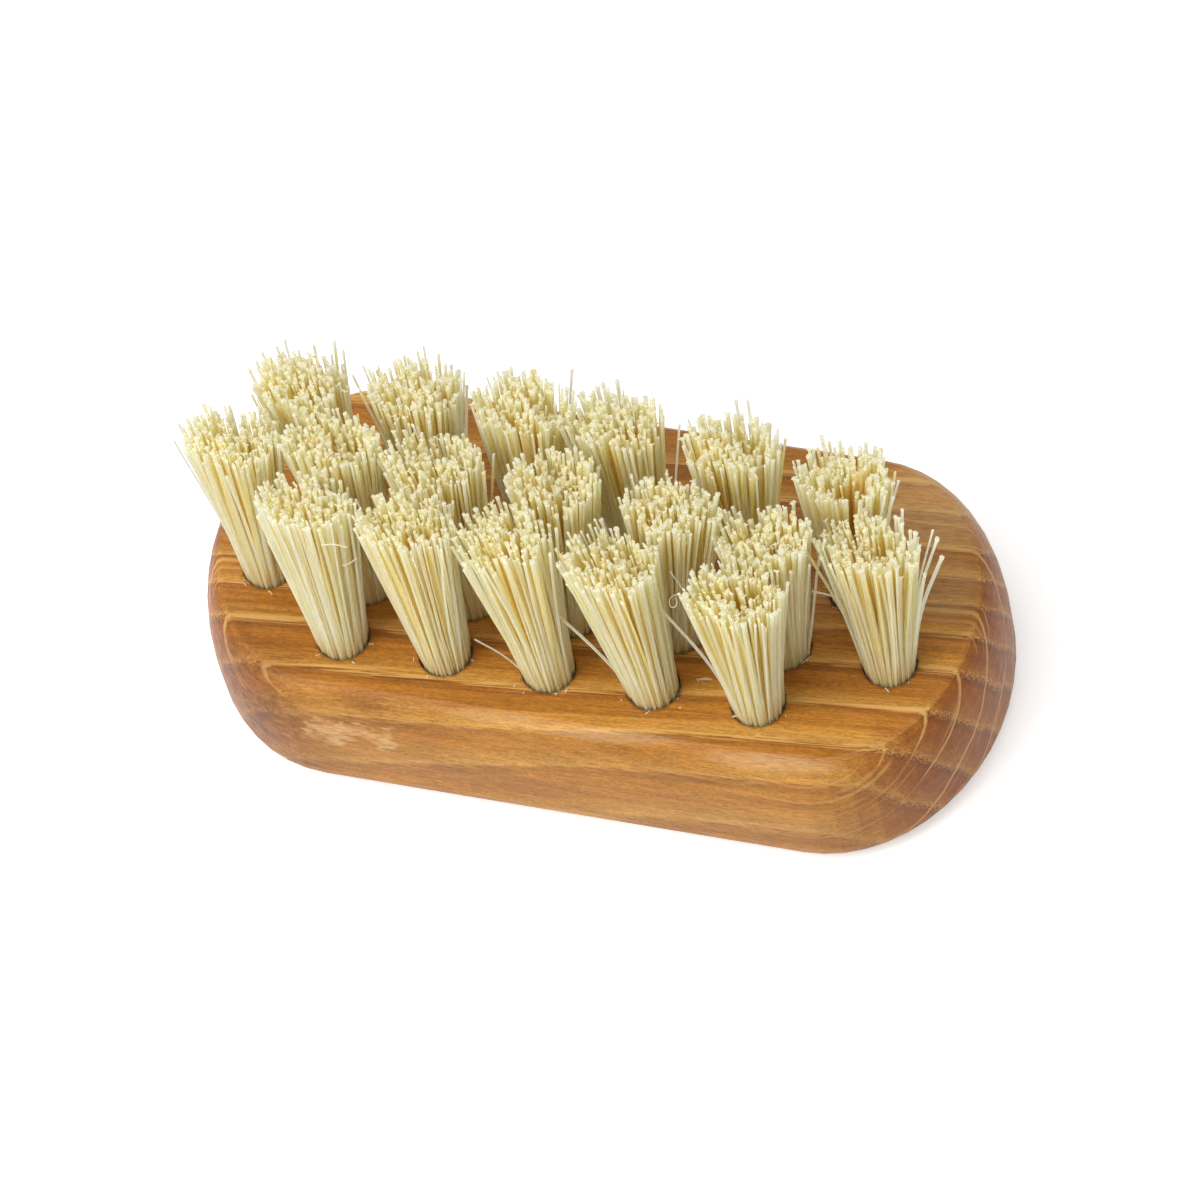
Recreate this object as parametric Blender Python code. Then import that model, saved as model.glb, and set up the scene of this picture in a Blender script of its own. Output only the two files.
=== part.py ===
"""Nail brush: a bored hardwood block, folded tufts of plant fibre and flat wire anchors.

Units are metres and +Z is up. The block lies on its back with the bristle side up, its long
axis runs along X, and the origin is the centre of the face that it rests on. A brush of this
kind has no lid: each tuft is folded over a short piece of flat wire and driven down a blind
bore, where the ends of the wire bite into the wood.
"""
import math
import random

import bmesh
import bpy
from mathutils import Matrix

# Block
BLOCK_LENGTH = 0.0950
BLOCK_WIDTH = 0.0464
BLOCK_HEIGHT = 0.0180
END_CAP_DEPTH = 0.0188
BRISTLE_EDGE_WIDTH = 0.0032
BRISTLE_EDGE_DROP = 0.0105
BACK_EDGE_RADIUS = 0.0035

# Tuft pattern: the front row stands nearly in line with the middle one, the back row between them
FRONT_ROW_TUFTS = 5
MIDDLE_ROW_TUFTS = 7
BACK_ROW_TUFTS = 6
END_MARGIN = 0.0103
FRONT_MARGIN = 0.0094
WALL_BETWEEN_ROWS = 0.0015
WALL_BEFORE_BACK_ROW = 0.0025
PATTERN_SHIFT = -0.0006
FRONT_ROW_SHIFT = -0.0010

# Blind bores with a drill point at the bottom
BORE_DIAMETER = 0.0063
BORE_FLOOR = 0.0045
DRILL_POINT_ANGLE = math.radians(118.0)
DRILL_STANDS_OUT = 0.0050

# Flat wire anchors
ANCHOR_WIRE_WIDTH = 0.0018
ANCHOR_WIRE_THICKNESS = 0.00035
ANCHOR_BITE = 0.00045
ANCHOR_CORNER = 0.0003
ANCHOR_LIFT = 0.0016

# Tufts
FREE_LENGTH = 0.0274
TRIM_FALL = 0.0042
TRIM_CROWN = 0.0025
TRIM_SCATTER = 0.00035
PACKED_RISE = 0.0008
FOLD_REACH = 0.0007
FOLD_SHOULDER = 0.0010
TIP_GAP_IN_ROW = 0.0015
TIP_GAP_BETWEEN_ROWS = 0.0006
STRAND_RINGS = ((3, 0.18), (9, 0.49), (15, 0.81))
STRAND_BASE_RADIUS = 0.00038
STRAND_TIP_RADIUS = 0.00050
STRAND_TIP_SCATTER = 0.00010
STRAND_ROOT = 0.0004
SCATTER_SEED = 18

# Clearance between pieces that touch on the real brush
FIT_GAP = 0.0003

# Facets
CAP_FACETS = 24
BRISTLE_EDGE_FACETS = 8
BACK_EDGE_FACETS = 5
BORE_FACETS = 24
PACKED_FACETS = 15
FOLD_FACETS = 3
SMOOTH_ANGLE = math.radians(35.0)

# Sizes that follow from the ones above
BORE_RADIUS = BORE_DIAMETER / 2
DRILL_POINT_DEPTH = BORE_RADIUS / math.tan(DRILL_POINT_ANGLE / 2)
BORE_DEPTH = BLOCK_HEIGHT - BORE_FLOOR - DRILL_POINT_DEPTH
PATTERN_LENGTH = BLOCK_LENGTH - 2 * END_MARGIN
TUFT_PITCH = PATTERN_LENGTH / (MIDDLE_ROW_TUFTS - 1)
ROW_SPACING = BORE_DIAMETER + WALL_BETWEEN_ROWS
FRONT_ROW_Y = FRONT_MARGIN - BLOCK_WIDTH / 2
MIDDLE_ROW_Y = FRONT_ROW_Y + ROW_SPACING
BACK_ROW_Y = MIDDLE_ROW_Y + BORE_DIAMETER + WALL_BEFORE_BACK_ROW
PACKED_RADIUS = BORE_RADIUS - FIT_GAP
TIP_HALF_WIDTH = (TUFT_PITCH - TIP_GAP_IN_ROW) / 2
TIP_HALF_DEPTH = (ROW_SPACING - TIP_GAP_BETWEEN_ROWS) / 2
ANCHOR_LENGTH = BORE_DIAMETER + 2 * ANCHOR_BITE
ANCHOR_BOTTOM = ANCHOR_LIFT - BORE_DEPTH


def remove_all_objects():
    """Empty the scene."""
    for item in list(bpy.data.objects):
        bpy.data.objects.remove(item, do_unlink=True)


def make_material(name, colour, roughness, metallic=0.0):
    """Return a Principled material."""
    material = bpy.data.materials.new(name)
    material.use_nodes = True
    shader = material.node_tree.nodes["Principled BSDF"]
    shader.inputs["Base Color"].default_value = (*colour, 1.0)
    shader.inputs["Roughness"].default_value = roughness
    shader.inputs["Metallic"].default_value = metallic
    material.diffuse_color = (*colour, 1.0)
    return material


def make_object(name, work, material, parent, location=(0.0, 0.0, 0.0)):
    """Turn a finished bmesh into a smooth shaded object at a place under its parent."""
    bmesh.ops.recalc_face_normals(work, faces=work.faces)
    mesh = bpy.data.meshes.new(name)
    work.to_mesh(mesh)
    work.free()
    mesh.shade_smooth()
    mesh.set_sharp_from_angle(angle=SMOOTH_ANGLE)
    if material is not None:
        mesh.materials.append(material)
    item = bpy.data.objects.new(name, mesh)
    item.location = location
    item.parent = parent
    bpy.context.collection.objects.link(item)
    return item


def make_tool_shape(name, work, parent, location=(0.0, 0.0, 0.0)):
    """Make an object that only cuts or joins and never shows."""
    item = make_object(name, work, None, parent, location)
    item.hide_render = True
    item.display_type = "WIRE"
    return item


def combine(item, other, operation, name):
    """Add an exact Boolean modifier."""
    modifier = item.modifiers.new(name, "BOOLEAN")
    modifier.operation = operation
    modifier.solver = "EXACT"
    modifier.object = other


def tuft_places():
    """Return the name and the bore centre of every tuft, row by row from the front."""
    rows = (
        ("front", FRONT_ROW_TUFTS, PATTERN_SHIFT + FRONT_ROW_SHIFT, FRONT_ROW_Y),
        ("middle", MIDDLE_ROW_TUFTS, PATTERN_SHIFT, MIDDLE_ROW_Y),
        ("back", BACK_ROW_TUFTS, PATTERN_SHIFT, BACK_ROW_Y),
    )
    places = []
    for row, count, shift, y in rows:
        for index in range(count):
            x = shift + (index - (count - 1) / 2) * TUFT_PITCH
            places.append((f"{row}_{index + 1}", x, y))
    return places


def free_length_at(x):
    """Return how far a tuft stands out: the trim is crowned and falls from one end to the other."""
    share = 2 * (x - PATTERN_SHIFT) / PATTERN_LENGTH
    return FREE_LENGTH - TRIM_FALL * share / 2 - TRIM_CROWN * share**2


# Block
def block_outline(inset):
    """Return the block's outline seen from above, moved inwards by an inset."""
    straight = BLOCK_LENGTH / 2 - END_CAP_DEPTH
    depth = END_CAP_DEPTH - inset
    half_width = BLOCK_WIDTH / 2 - inset
    points = []
    for side in (1, -1):
        for step in range(CAP_FACETS + 1):
            angle = math.pi * (step / CAP_FACETS - 0.5)
            x = straight + depth * math.cos(angle)
            y = half_width * math.sin(angle)
            points.append((side * x, side * y))
    return points


def block_profile():
    """Return the inset and height of each outline, from the resting face up to the bristle face."""
    steps = []
    for step in range(BACK_EDGE_FACETS + 1):
        angle = math.pi / 2 * step / BACK_EDGE_FACETS
        inset = BACK_EDGE_RADIUS * (1 - math.sin(angle))
        height = BACK_EDGE_RADIUS * (1 - math.cos(angle))
        steps.append((inset, height))
    for step in range(BRISTLE_EDGE_FACETS + 1):
        angle = math.pi / 2 * step / BRISTLE_EDGE_FACETS
        inset = BRISTLE_EDGE_WIDTH * (1 - math.cos(angle))
        height = BLOCK_HEIGHT - BRISTLE_EDGE_DROP * (1 - math.sin(angle))
        steps.append((inset, height))
    return steps


def block_body():
    """Loft the block through its outlines, with soft edges above and below."""
    work = bmesh.new()
    loops = []
    rings = []
    for inset, height in block_profile():
        ring = [work.verts.new((x, y, height)) for x, y in block_outline(inset)]
        rings.append(ring)
        loops.append([work.edges.new(pair) for pair in zip(ring, ring[1:] + ring[:1])])
    for lower, upper in zip(loops, loops[1:]):
        bmesh.ops.bridge_loops(work, edges=lower + upper)
    work.faces.new(rings[0])
    work.faces.new(rings[-1])
    return work


def spin_profile(work, profile, facets, centre):
    """Turn a profile of (radius, height) points about an upright axis through a centre."""
    x, y, z = centre
    points = [work.verts.new((x + radius, y, z + height)) for radius, height in profile]
    edges = [work.edges.new(pair) for pair in zip(points, points[1:])]
    bmesh.ops.spin(
        work,
        geom=points + edges,
        cent=centre,
        axis=(0.0, 0.0, 1.0),
        angle=2 * math.pi,
        steps=facets,
        use_merge=True,
    )
    bmesh.ops.remove_doubles(work, verts=work.verts, dist=1e-6)


def drill_shape(work, x, y):
    """Add one drill, point down, where it stands at the bottom of its bore."""
    profile = (
        (0.0, -BORE_DEPTH - DRILL_POINT_DEPTH),
        (BORE_RADIUS, -BORE_DEPTH),
        (BORE_RADIUS, DRILL_STANDS_OUT),
        (0.0, DRILL_STANDS_OUT),
    )
    spin_profile(work, profile, BORE_FACETS, (x, y, BLOCK_HEIGHT))


def box_shape(work, size, centre):
    """Add a box of a size at a centre."""
    scale = Matrix.Diagonal((*size, 1.0))
    bmesh.ops.create_cube(work, size=1.0, matrix=Matrix.Translation(centre) @ scale)


def anchor_room(length):
    """Return the size of a slot that lets the anchor in with a gap all round."""
    return (length, ANCHOR_WIRE_THICKNESS + 2 * FIT_GAP, ANCHOR_WIRE_WIDTH + 2 * FIT_GAP)


def make_block(places, material, parent):
    """Make the block with its bores and the tracks that the anchors cut at the bottom."""
    block = make_object("wood_block", block_body(), material, parent)
    bores = bmesh.new()
    tracks = bmesh.new()
    track_height = BLOCK_HEIGHT + ANCHOR_BOTTOM + ANCHOR_WIRE_WIDTH / 2
    for _, x, y in places:
        drill_shape(bores, x, y)
        box_shape(tracks, anchor_room(ANCHOR_LENGTH + 2 * FIT_GAP), (x, y, track_height))
    combine(block, make_tool_shape("bore_shapes", bores, parent), "DIFFERENCE", "bores")
    combine(block, make_tool_shape("track_shapes", tracks, parent), "DIFFERENCE", "tracks")
    return block


# Anchors
def anchor_body():
    """Shape one cut length of flat wire, with its two leading corners worn round."""
    work = bmesh.new()
    centre = (0.0, 0.0, ANCHOR_BOTTOM + ANCHOR_WIRE_WIDTH / 2)
    box_shape(work, (ANCHOR_LENGTH, ANCHOR_WIRE_THICKNESS, ANCHOR_WIRE_WIDTH), centre)
    corners = []
    for edge in work.edges:
        first, second = (vertex.co for vertex in edge.verts)
        across = abs(first.y - second.y) > ANCHOR_WIRE_THICKNESS / 2
        if across and first.z < centre[2]:
            corners.append(edge)
    bmesh.ops.bevel(
        work,
        geom=corners,
        offset=ANCHOR_CORNER,
        segments=2,
        profile=0.5,
        affect="EDGES",
        material=-1,
    )
    return work


# Tufts
def packed_body():
    """Turn the packed part of a tuft: the fold, the shank in the bore and a short rise above."""
    fold_top = FOLD_SHOULDER - BORE_DEPTH
    fold_bottom = -BORE_DEPTH - FOLD_REACH
    profile = []
    for step in range(FOLD_FACETS + 1):
        angle = math.pi / 2 * step / FOLD_FACETS
        radius = PACKED_RADIUS * math.sin(angle)
        height = fold_top - (fold_top - fold_bottom) * math.cos(angle)
        profile.append((radius, height))
    profile.append((PACKED_RADIUS, PACKED_RISE))
    profile.append((0.0, PACKED_RISE))
    work = bmesh.new()
    spin_profile(work, profile, PACKED_FACETS, (0.0, 0.0, 0.0))
    return work


def strand_shape(work, root, tip, heading):
    """Add one three-sided strand that widens from its root to its trimmed tip."""
    ends = []
    for (x, y, z), radius in ((root, STRAND_BASE_RADIUS), (tip, STRAND_TIP_RADIUS)):
        ring = []
        for corner in range(3):
            angle = heading + 2 * math.pi * corner / 3
            ring.append(work.verts.new((x + radius * math.cos(angle), y + radius * math.sin(angle), z)))
        ends.append(ring)
    lower, upper = ends
    edges = []
    for ring in ends:
        edges += [work.edges.new(pair) for pair in zip(ring, ring[1:] + ring[:1])]
    bmesh.ops.bridge_loops(work, edges=edges)
    work.faces.new(lower)
    work.faces.new(upper)


def strand_bundle(free_length, chance):
    """Spread the strands of one tuft from the packed part out to an oval of trimmed tips."""
    work = bmesh.new()
    outer_share = STRAND_RINGS[-1][1]
    reach_x = TIP_HALF_WIDTH - STRAND_TIP_RADIUS - STRAND_TIP_SCATTER
    reach_y = TIP_HALF_DEPTH - STRAND_TIP_RADIUS - STRAND_TIP_SCATTER
    for ring_number, (count, share) in enumerate(STRAND_RINGS):
        for index in range(count):
            heading = 2 * math.pi * (index + ring_number / 2) / count
            across = math.cos(heading)
            along = math.sin(heading)
            root_reach = share * PACKED_RADIUS
            root = (root_reach * across, root_reach * along, PACKED_RISE - STRAND_ROOT)
            tip_share = share / outer_share
            tip_x = tip_share * reach_x * across + chance.uniform(-1, 1) * STRAND_TIP_SCATTER
            tip_y = tip_share * reach_y * along + chance.uniform(-1, 1) * STRAND_TIP_SCATTER
            tip_z = free_length - chance.uniform(0, 1) * TRIM_SCATTER
            strand_shape(work, root, (tip_x, tip_y, tip_z), heading)
    return work


def make_tuft(name, place, tunnel, chance, material, parent):
    """Make one tuft: packed fibre with a tunnel for its anchor, and strands joined on top."""
    tuft = make_object(f"tuft_{name}", packed_body(), material, parent, place)
    strands = strand_bundle(free_length_at(place[0]), chance)
    bundle = make_tool_shape(f"strands_{name}", strands, parent, place)
    combine(tuft, bundle, "UNION", "strands")
    combine(tuft, tunnel, "DIFFERENCE", "anchor_tunnel")
    return tuft


def make_tunnel(places, parent):
    """Make the shape that opens every tuft's fold for its anchor."""
    work = bmesh.new()
    height = BLOCK_HEIGHT + ANCHOR_BOTTOM + ANCHOR_WIRE_WIDTH / 2
    for _, x, y in places:
        box_shape(work, anchor_room(ANCHOR_LENGTH), (x, y, height))
    return make_tool_shape("tunnel_shapes", work, parent)


def build_brush():
    """Build the block, then a tuft and an anchor in each of its bores."""
    remove_all_objects()
    wood = make_material("oiled_hardwood", (0.48, 0.25, 0.10), 0.45)
    fibre = make_material("plant_fibre", (0.76, 0.68, 0.44), 0.70)
    steel = make_material("zinc_plated_wire", (0.55, 0.56, 0.57), 0.40, 1.0)
    brush = bpy.data.objects.new("brush_centre", None)
    bpy.context.collection.objects.link(brush)
    places = tuft_places()
    make_block(places, wood, brush)
    tunnel = make_tunnel(places, brush)
    chance = random.Random(SCATTER_SEED)
    for name, x, y in places:
        mouth = (x, y, BLOCK_HEIGHT)
        make_tuft(name, mouth, tunnel, chance, fibre, brush)
        make_object(f"anchor_{name}", anchor_body(), steel, brush, mouth)


build_brush()
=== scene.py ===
"""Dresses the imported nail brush: oiled hardwood, folded tufts of plant fibre and zinc-plated wire.

Lengths are metres unless a name ends in _mm. The block lies on its back with the bristle side up
and its long axis along X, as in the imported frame.
"""
import logging
import math
import random
from dataclasses import dataclass
from dataclasses import field
from enum import Enum

import bmesh
import bpy
from mathutils import Matrix
from mathutils import Vector


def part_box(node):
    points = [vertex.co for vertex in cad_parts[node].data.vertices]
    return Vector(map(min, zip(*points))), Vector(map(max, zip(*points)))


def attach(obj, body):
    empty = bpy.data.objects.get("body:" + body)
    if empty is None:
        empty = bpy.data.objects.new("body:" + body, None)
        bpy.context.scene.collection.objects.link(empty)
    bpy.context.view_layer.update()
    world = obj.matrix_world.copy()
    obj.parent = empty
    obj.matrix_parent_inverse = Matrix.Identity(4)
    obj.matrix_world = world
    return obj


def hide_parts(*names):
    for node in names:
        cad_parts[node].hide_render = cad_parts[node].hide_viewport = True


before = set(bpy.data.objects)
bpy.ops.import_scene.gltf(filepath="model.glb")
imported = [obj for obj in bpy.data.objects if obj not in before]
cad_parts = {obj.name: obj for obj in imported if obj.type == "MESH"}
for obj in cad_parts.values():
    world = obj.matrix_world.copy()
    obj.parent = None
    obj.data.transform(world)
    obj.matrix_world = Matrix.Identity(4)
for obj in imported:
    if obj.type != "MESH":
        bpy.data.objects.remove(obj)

MM = 0.001
BODY = "root"
X_AXIS = (1.0, 0.0, 0.0)
Y_AXIS = (0.0, 1.0, 0.0)
TO_MM = (1 / MM, 1 / MM, 1 / MM)
SHARP_ANGLE = math.radians(50.0)
MOST_VERTS = 1_000_000
STRAND_LAYERS = ("grow", "tone", "painted_shade")
LOG = logging.getLogger("nail_brush")

Colour = tuple[float, float, float, float]
Span = tuple[float, float]
Socket = bpy.types.NodeSocket


class Slot(Enum):
    """The record's material slots."""

    WOOD = "wood"
    FIBRE = "fibre"
    WIRE = "wire"


def tint(red: int, green: int, blue: int) -> Colour:
    """Turn a display colour into the linear one that a shader takes, by the sRGB curve.

    Args:
        red: Red, 0 to 255.
        green: Green, 0 to 255.
        blue: Blue, 0 to 255.

    Returns:
        The linear colour with full alpha.
    """
    channels = []
    for level in (red, green, blue):
        share = level / 255
        if share <= 0.04045:
            channels.append(share / 12.92)
        else:
            channels.append(((share + 0.055) / 1.055) ** 2.4)
    return (*channels, 1.0)


class Wiring:
    """The node tree of one material or world, with a short call for each kind of node."""

    def __init__(self, name: str, library: str = "materials") -> None:
        """Start an empty material or world.

        Args:
            name: Its name.
            library: Blender's list to make it in, materials or worlds.
        """
        self.owner = getattr(bpy.data, library).new(name)
        self.owner.use_nodes = True
        self.nodes = self.owner.node_tree.nodes
        self.links = self.owner.node_tree.links
        self.nodes.clear()

    def node(self, kind: str, **settings: object) -> bpy.types.Node:
        """Add a node.

        Args:
            kind: The node's type name.
            settings: Properties to set on it.

        Returns:
            The new node.
        """
        made = self.nodes.new(kind)
        for name, value in settings.items():
            setattr(made, name, value)
        return made

    def feed(self, socket: Socket, value: object) -> None:
        """Link a socket to another one, or set it to a plain value.

        Args:
            socket: The input to feed.
            value: An output socket, a number or a tuple.
        """
        if isinstance(value, bpy.types.NodeSocket):
            self.links.new(value, socket)
        else:
            socket.default_value = value

    def coordinates(self, output: str) -> Socket:
        """Return an output of the texture coordinates."""
        return self.node("ShaderNodeTexCoord").outputs[output]

    def attribute(self, name: str) -> Socket:
        """Return a number stored on the mesh."""
        return self.node("ShaderNodeAttribute", attribute_name=name).outputs["Fac"]

    def mapping(self, vector: Socket, scale: tuple, turn: tuple = (0.0, 0.0, 0.0)) -> Socket:
        """Scale a vector, then turn it.

        Args:
            vector: The vector.
            scale: The scale along each axis.
            turn: The angles about each axis.

        Returns:
            The mapped vector.
        """
        made = self.node("ShaderNodeMapping")
        self.feed(made.inputs["Vector"], vector)
        self.feed(made.inputs["Scale"], scale)
        self.feed(made.inputs["Rotation"], turn)
        return made.outputs["Vector"]

    def maths(self, operation: str, first: object, second: object = 0.5, clamp: bool = False) -> Socket:
        """Do one sum on numbers.

        Args:
            operation: The Math node's operation.
            first: The first number or socket.
            second: The second number or socket.
            clamp: Keep the result between 0 and 1.

        Returns:
            The result.
        """
        made = self.node("ShaderNodeMath", operation=operation, use_clamp=clamp)
        self.feed(made.inputs[0], first)
        self.feed(made.inputs[1], second)
        return made.outputs[0]

    def vectors(self, operation: str, first: object, second: object = (0.0, 0.0, 0.0)) -> Socket:
        """Do one sum on vectors.

        Args:
            operation: The Vector Math node's operation.
            first: The first vector or socket.
            second: The second vector or socket, which a length leaves out.

        Returns:
            The result, which is a number for a dot product, a distance or a length.
        """
        made = self.node("ShaderNodeVectorMath", operation=operation)
        self.feed(made.inputs[0], first)
        self.feed(made.inputs[1], second)
        wanted = "Value" if operation in ("DOT_PRODUCT", "DISTANCE", "LENGTH") else "Vector"
        return made.outputs[wanted]

    def noise(
        self, vector: Socket, scale: float, detail: float, roughness: float, output: str = "Fac"
    ) -> Socket:
        """Add a noise texture.

        Args:
            vector: Where to read it.
            scale: Its scale.
            detail: Its octaves.
            roughness: How strong the finer octaves are.
            output: The output to read.

        Returns:
            That output.
        """
        made = self.node("ShaderNodeTexNoise")
        self.feed(made.inputs["Vector"], vector)
        self.feed(made.inputs["Scale"], scale)
        self.feed(made.inputs["Detail"], detail)
        self.feed(made.inputs["Roughness"], roughness)
        return made.outputs[output]

    def between(
        self, value: Socket, low: float, high: float, start: float = 0.0, end: float = 1.0
    ) -> Socket:
        """Step smoothly from one level to another as a value goes from low to high.

        Args:
            value: The value.
            low: Where the step begins.
            high: Where the step ends.
            start: The level before it.
            end: The level after it.

        Returns:
            The level.
        """
        made = self.node("ShaderNodeMapRange", interpolation_type="SMOOTHSTEP")
        self.feed(made.inputs["Value"], value)
        self.feed(made.inputs["From Min"], low)
        self.feed(made.inputs["From Max"], high)
        self.feed(made.inputs["To Min"], start)
        self.feed(made.inputs["To Max"], end)
        return made.outputs["Result"]

    def ramp(self, value: Socket, stops: list, smooth: bool = True) -> Socket:
        """Look a value up in a row of colours.

        Args:
            value: The value, 0 to 1.
            stops: Pairs of place and colour, in the order of their places.
            smooth: Ease between the stops.

        Returns:
            The colour.
        """
        made = self.node("ShaderNodeValToRGB")
        made.color_ramp.interpolation = "EASE" if smooth else "LINEAR"
        elements = made.color_ramp.elements
        while len(elements) > 1:
            elements.remove(elements[0])
        elements[0].position, elements[0].color = stops[0]
        for place, colour in stops[1:]:
            elements.new(place).color = colour
        self.feed(made.inputs["Fac"], value)
        return made.outputs["Color"]

    def mix(self, share: object, first: object, second: object, blend: str = "MIX") -> Socket:
        """Mix two colours.

        Args:
            share: How much of the second one.
            first: The first colour.
            second: The second colour.
            blend: The way of mixing.

        Returns:
            The mixed colour.
        """
        made = self.node("ShaderNodeMix", data_type="RGBA", blend_type=blend)
        inputs = {entry.identifier: entry for entry in made.inputs}
        self.feed(inputs["Factor_Float"], share)
        self.feed(inputs["A_Color"], first)
        self.feed(inputs["B_Color"], second)
        return {entry.identifier: entry for entry in made.outputs}["Result_Color"]

    def bump(self, height: Socket, strength: float, distance: float) -> Socket:
        """Turn a height into a bumped normal.

        Args:
            height: The height, 0 to 1.
            strength: How strong it is.
            distance: How deep it is.

        Returns:
            The normal.
        """
        made = self.node("ShaderNodeBump")
        self.feed(made.inputs["Strength"], strength)
        self.feed(made.inputs["Distance"], distance)
        self.feed(made.inputs["Height"], height)
        return made.outputs["Normal"]

    def shader(self, kind: str, **inputs: object) -> Socket:
        """Add a shader.

        Args:
            kind: The node's type name.
            inputs: Values or sockets for its inputs, with _ for a space in their names.

        Returns:
            The shader's output.
        """
        made = self.node(kind)
        for name, value in inputs.items():
            self.feed(made.inputs[name.replace("_", " ")], value)
        return made.outputs[0]

    def mix_shaders(self, share: object, first: Socket, second: Socket) -> Socket:
        """Mix two shaders.

        Args:
            share: How much of the second one.
            first: The first shader.
            second: The second shader.

        Returns:
            The mixed shader.
        """
        made = self.node("ShaderNodeMixShader")
        self.feed(made.inputs[0], share)
        self.feed(made.inputs[1], first)
        self.feed(made.inputs[2], second)
        return made.outputs[0]

    def background_seen(self) -> Socket:
        """Tell where the camera, a reflection or clear glass sees the background.

        Light that a fibre lets through is diffuse, so it doesn't count as glass.

        Returns:
            1 for such a ray and 0 for any other.
        """
        path = self.node("ShaderNodeLightPath").outputs
        glass = self.maths("SUBTRACT", path["Is Transmission Ray"], path["Is Diffuse Ray"], clamp=True)
        mirrored = self.maths("MAXIMUM", path["Is Glossy Ray"], glass)
        return self.maths("MAXIMUM", path["Is Camera Ray"], mirrored)

    def finish(self, surface: Socket) -> bpy.types.Material:
        """Show a shader on the surface.

        Args:
            surface: The shader.

        Returns:
            The finished material.
        """
        output = self.node("ShaderNodeOutputMaterial")
        self.feed(output.inputs["Surface"], surface)
        return self.owner


@dataclass(frozen=True)
class Spot:
    """A soft spot round a place on the block, for oil marks, marks of use, painted shade and painted
    highlights.

    Its spread is one over its reach along each axis, in millimetres.
    """

    centre_mm: tuple
    spread: tuple
    level: float

    def strength(self, wiring: Wiring, place: Socket, fade: tuple) -> Socket:
        """Wire how strong the spot is at a place.

        Args:
            wiring: The material's nodes.
            place: The place along the grain, in millimetres.
            fade: Where it starts and stops fading, as shares of its reach.

        Returns:
            The spot's strength, 0 outside it.
        """
        apart = wiring.vectors("SUBTRACT", place, self.centre_mm)
        apart = wiring.vectors("MULTIPLY", apart, self.spread)
        return wiring.between(wiring.vectors("LENGTH", apart), *fade, self.level, 0.0)


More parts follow.
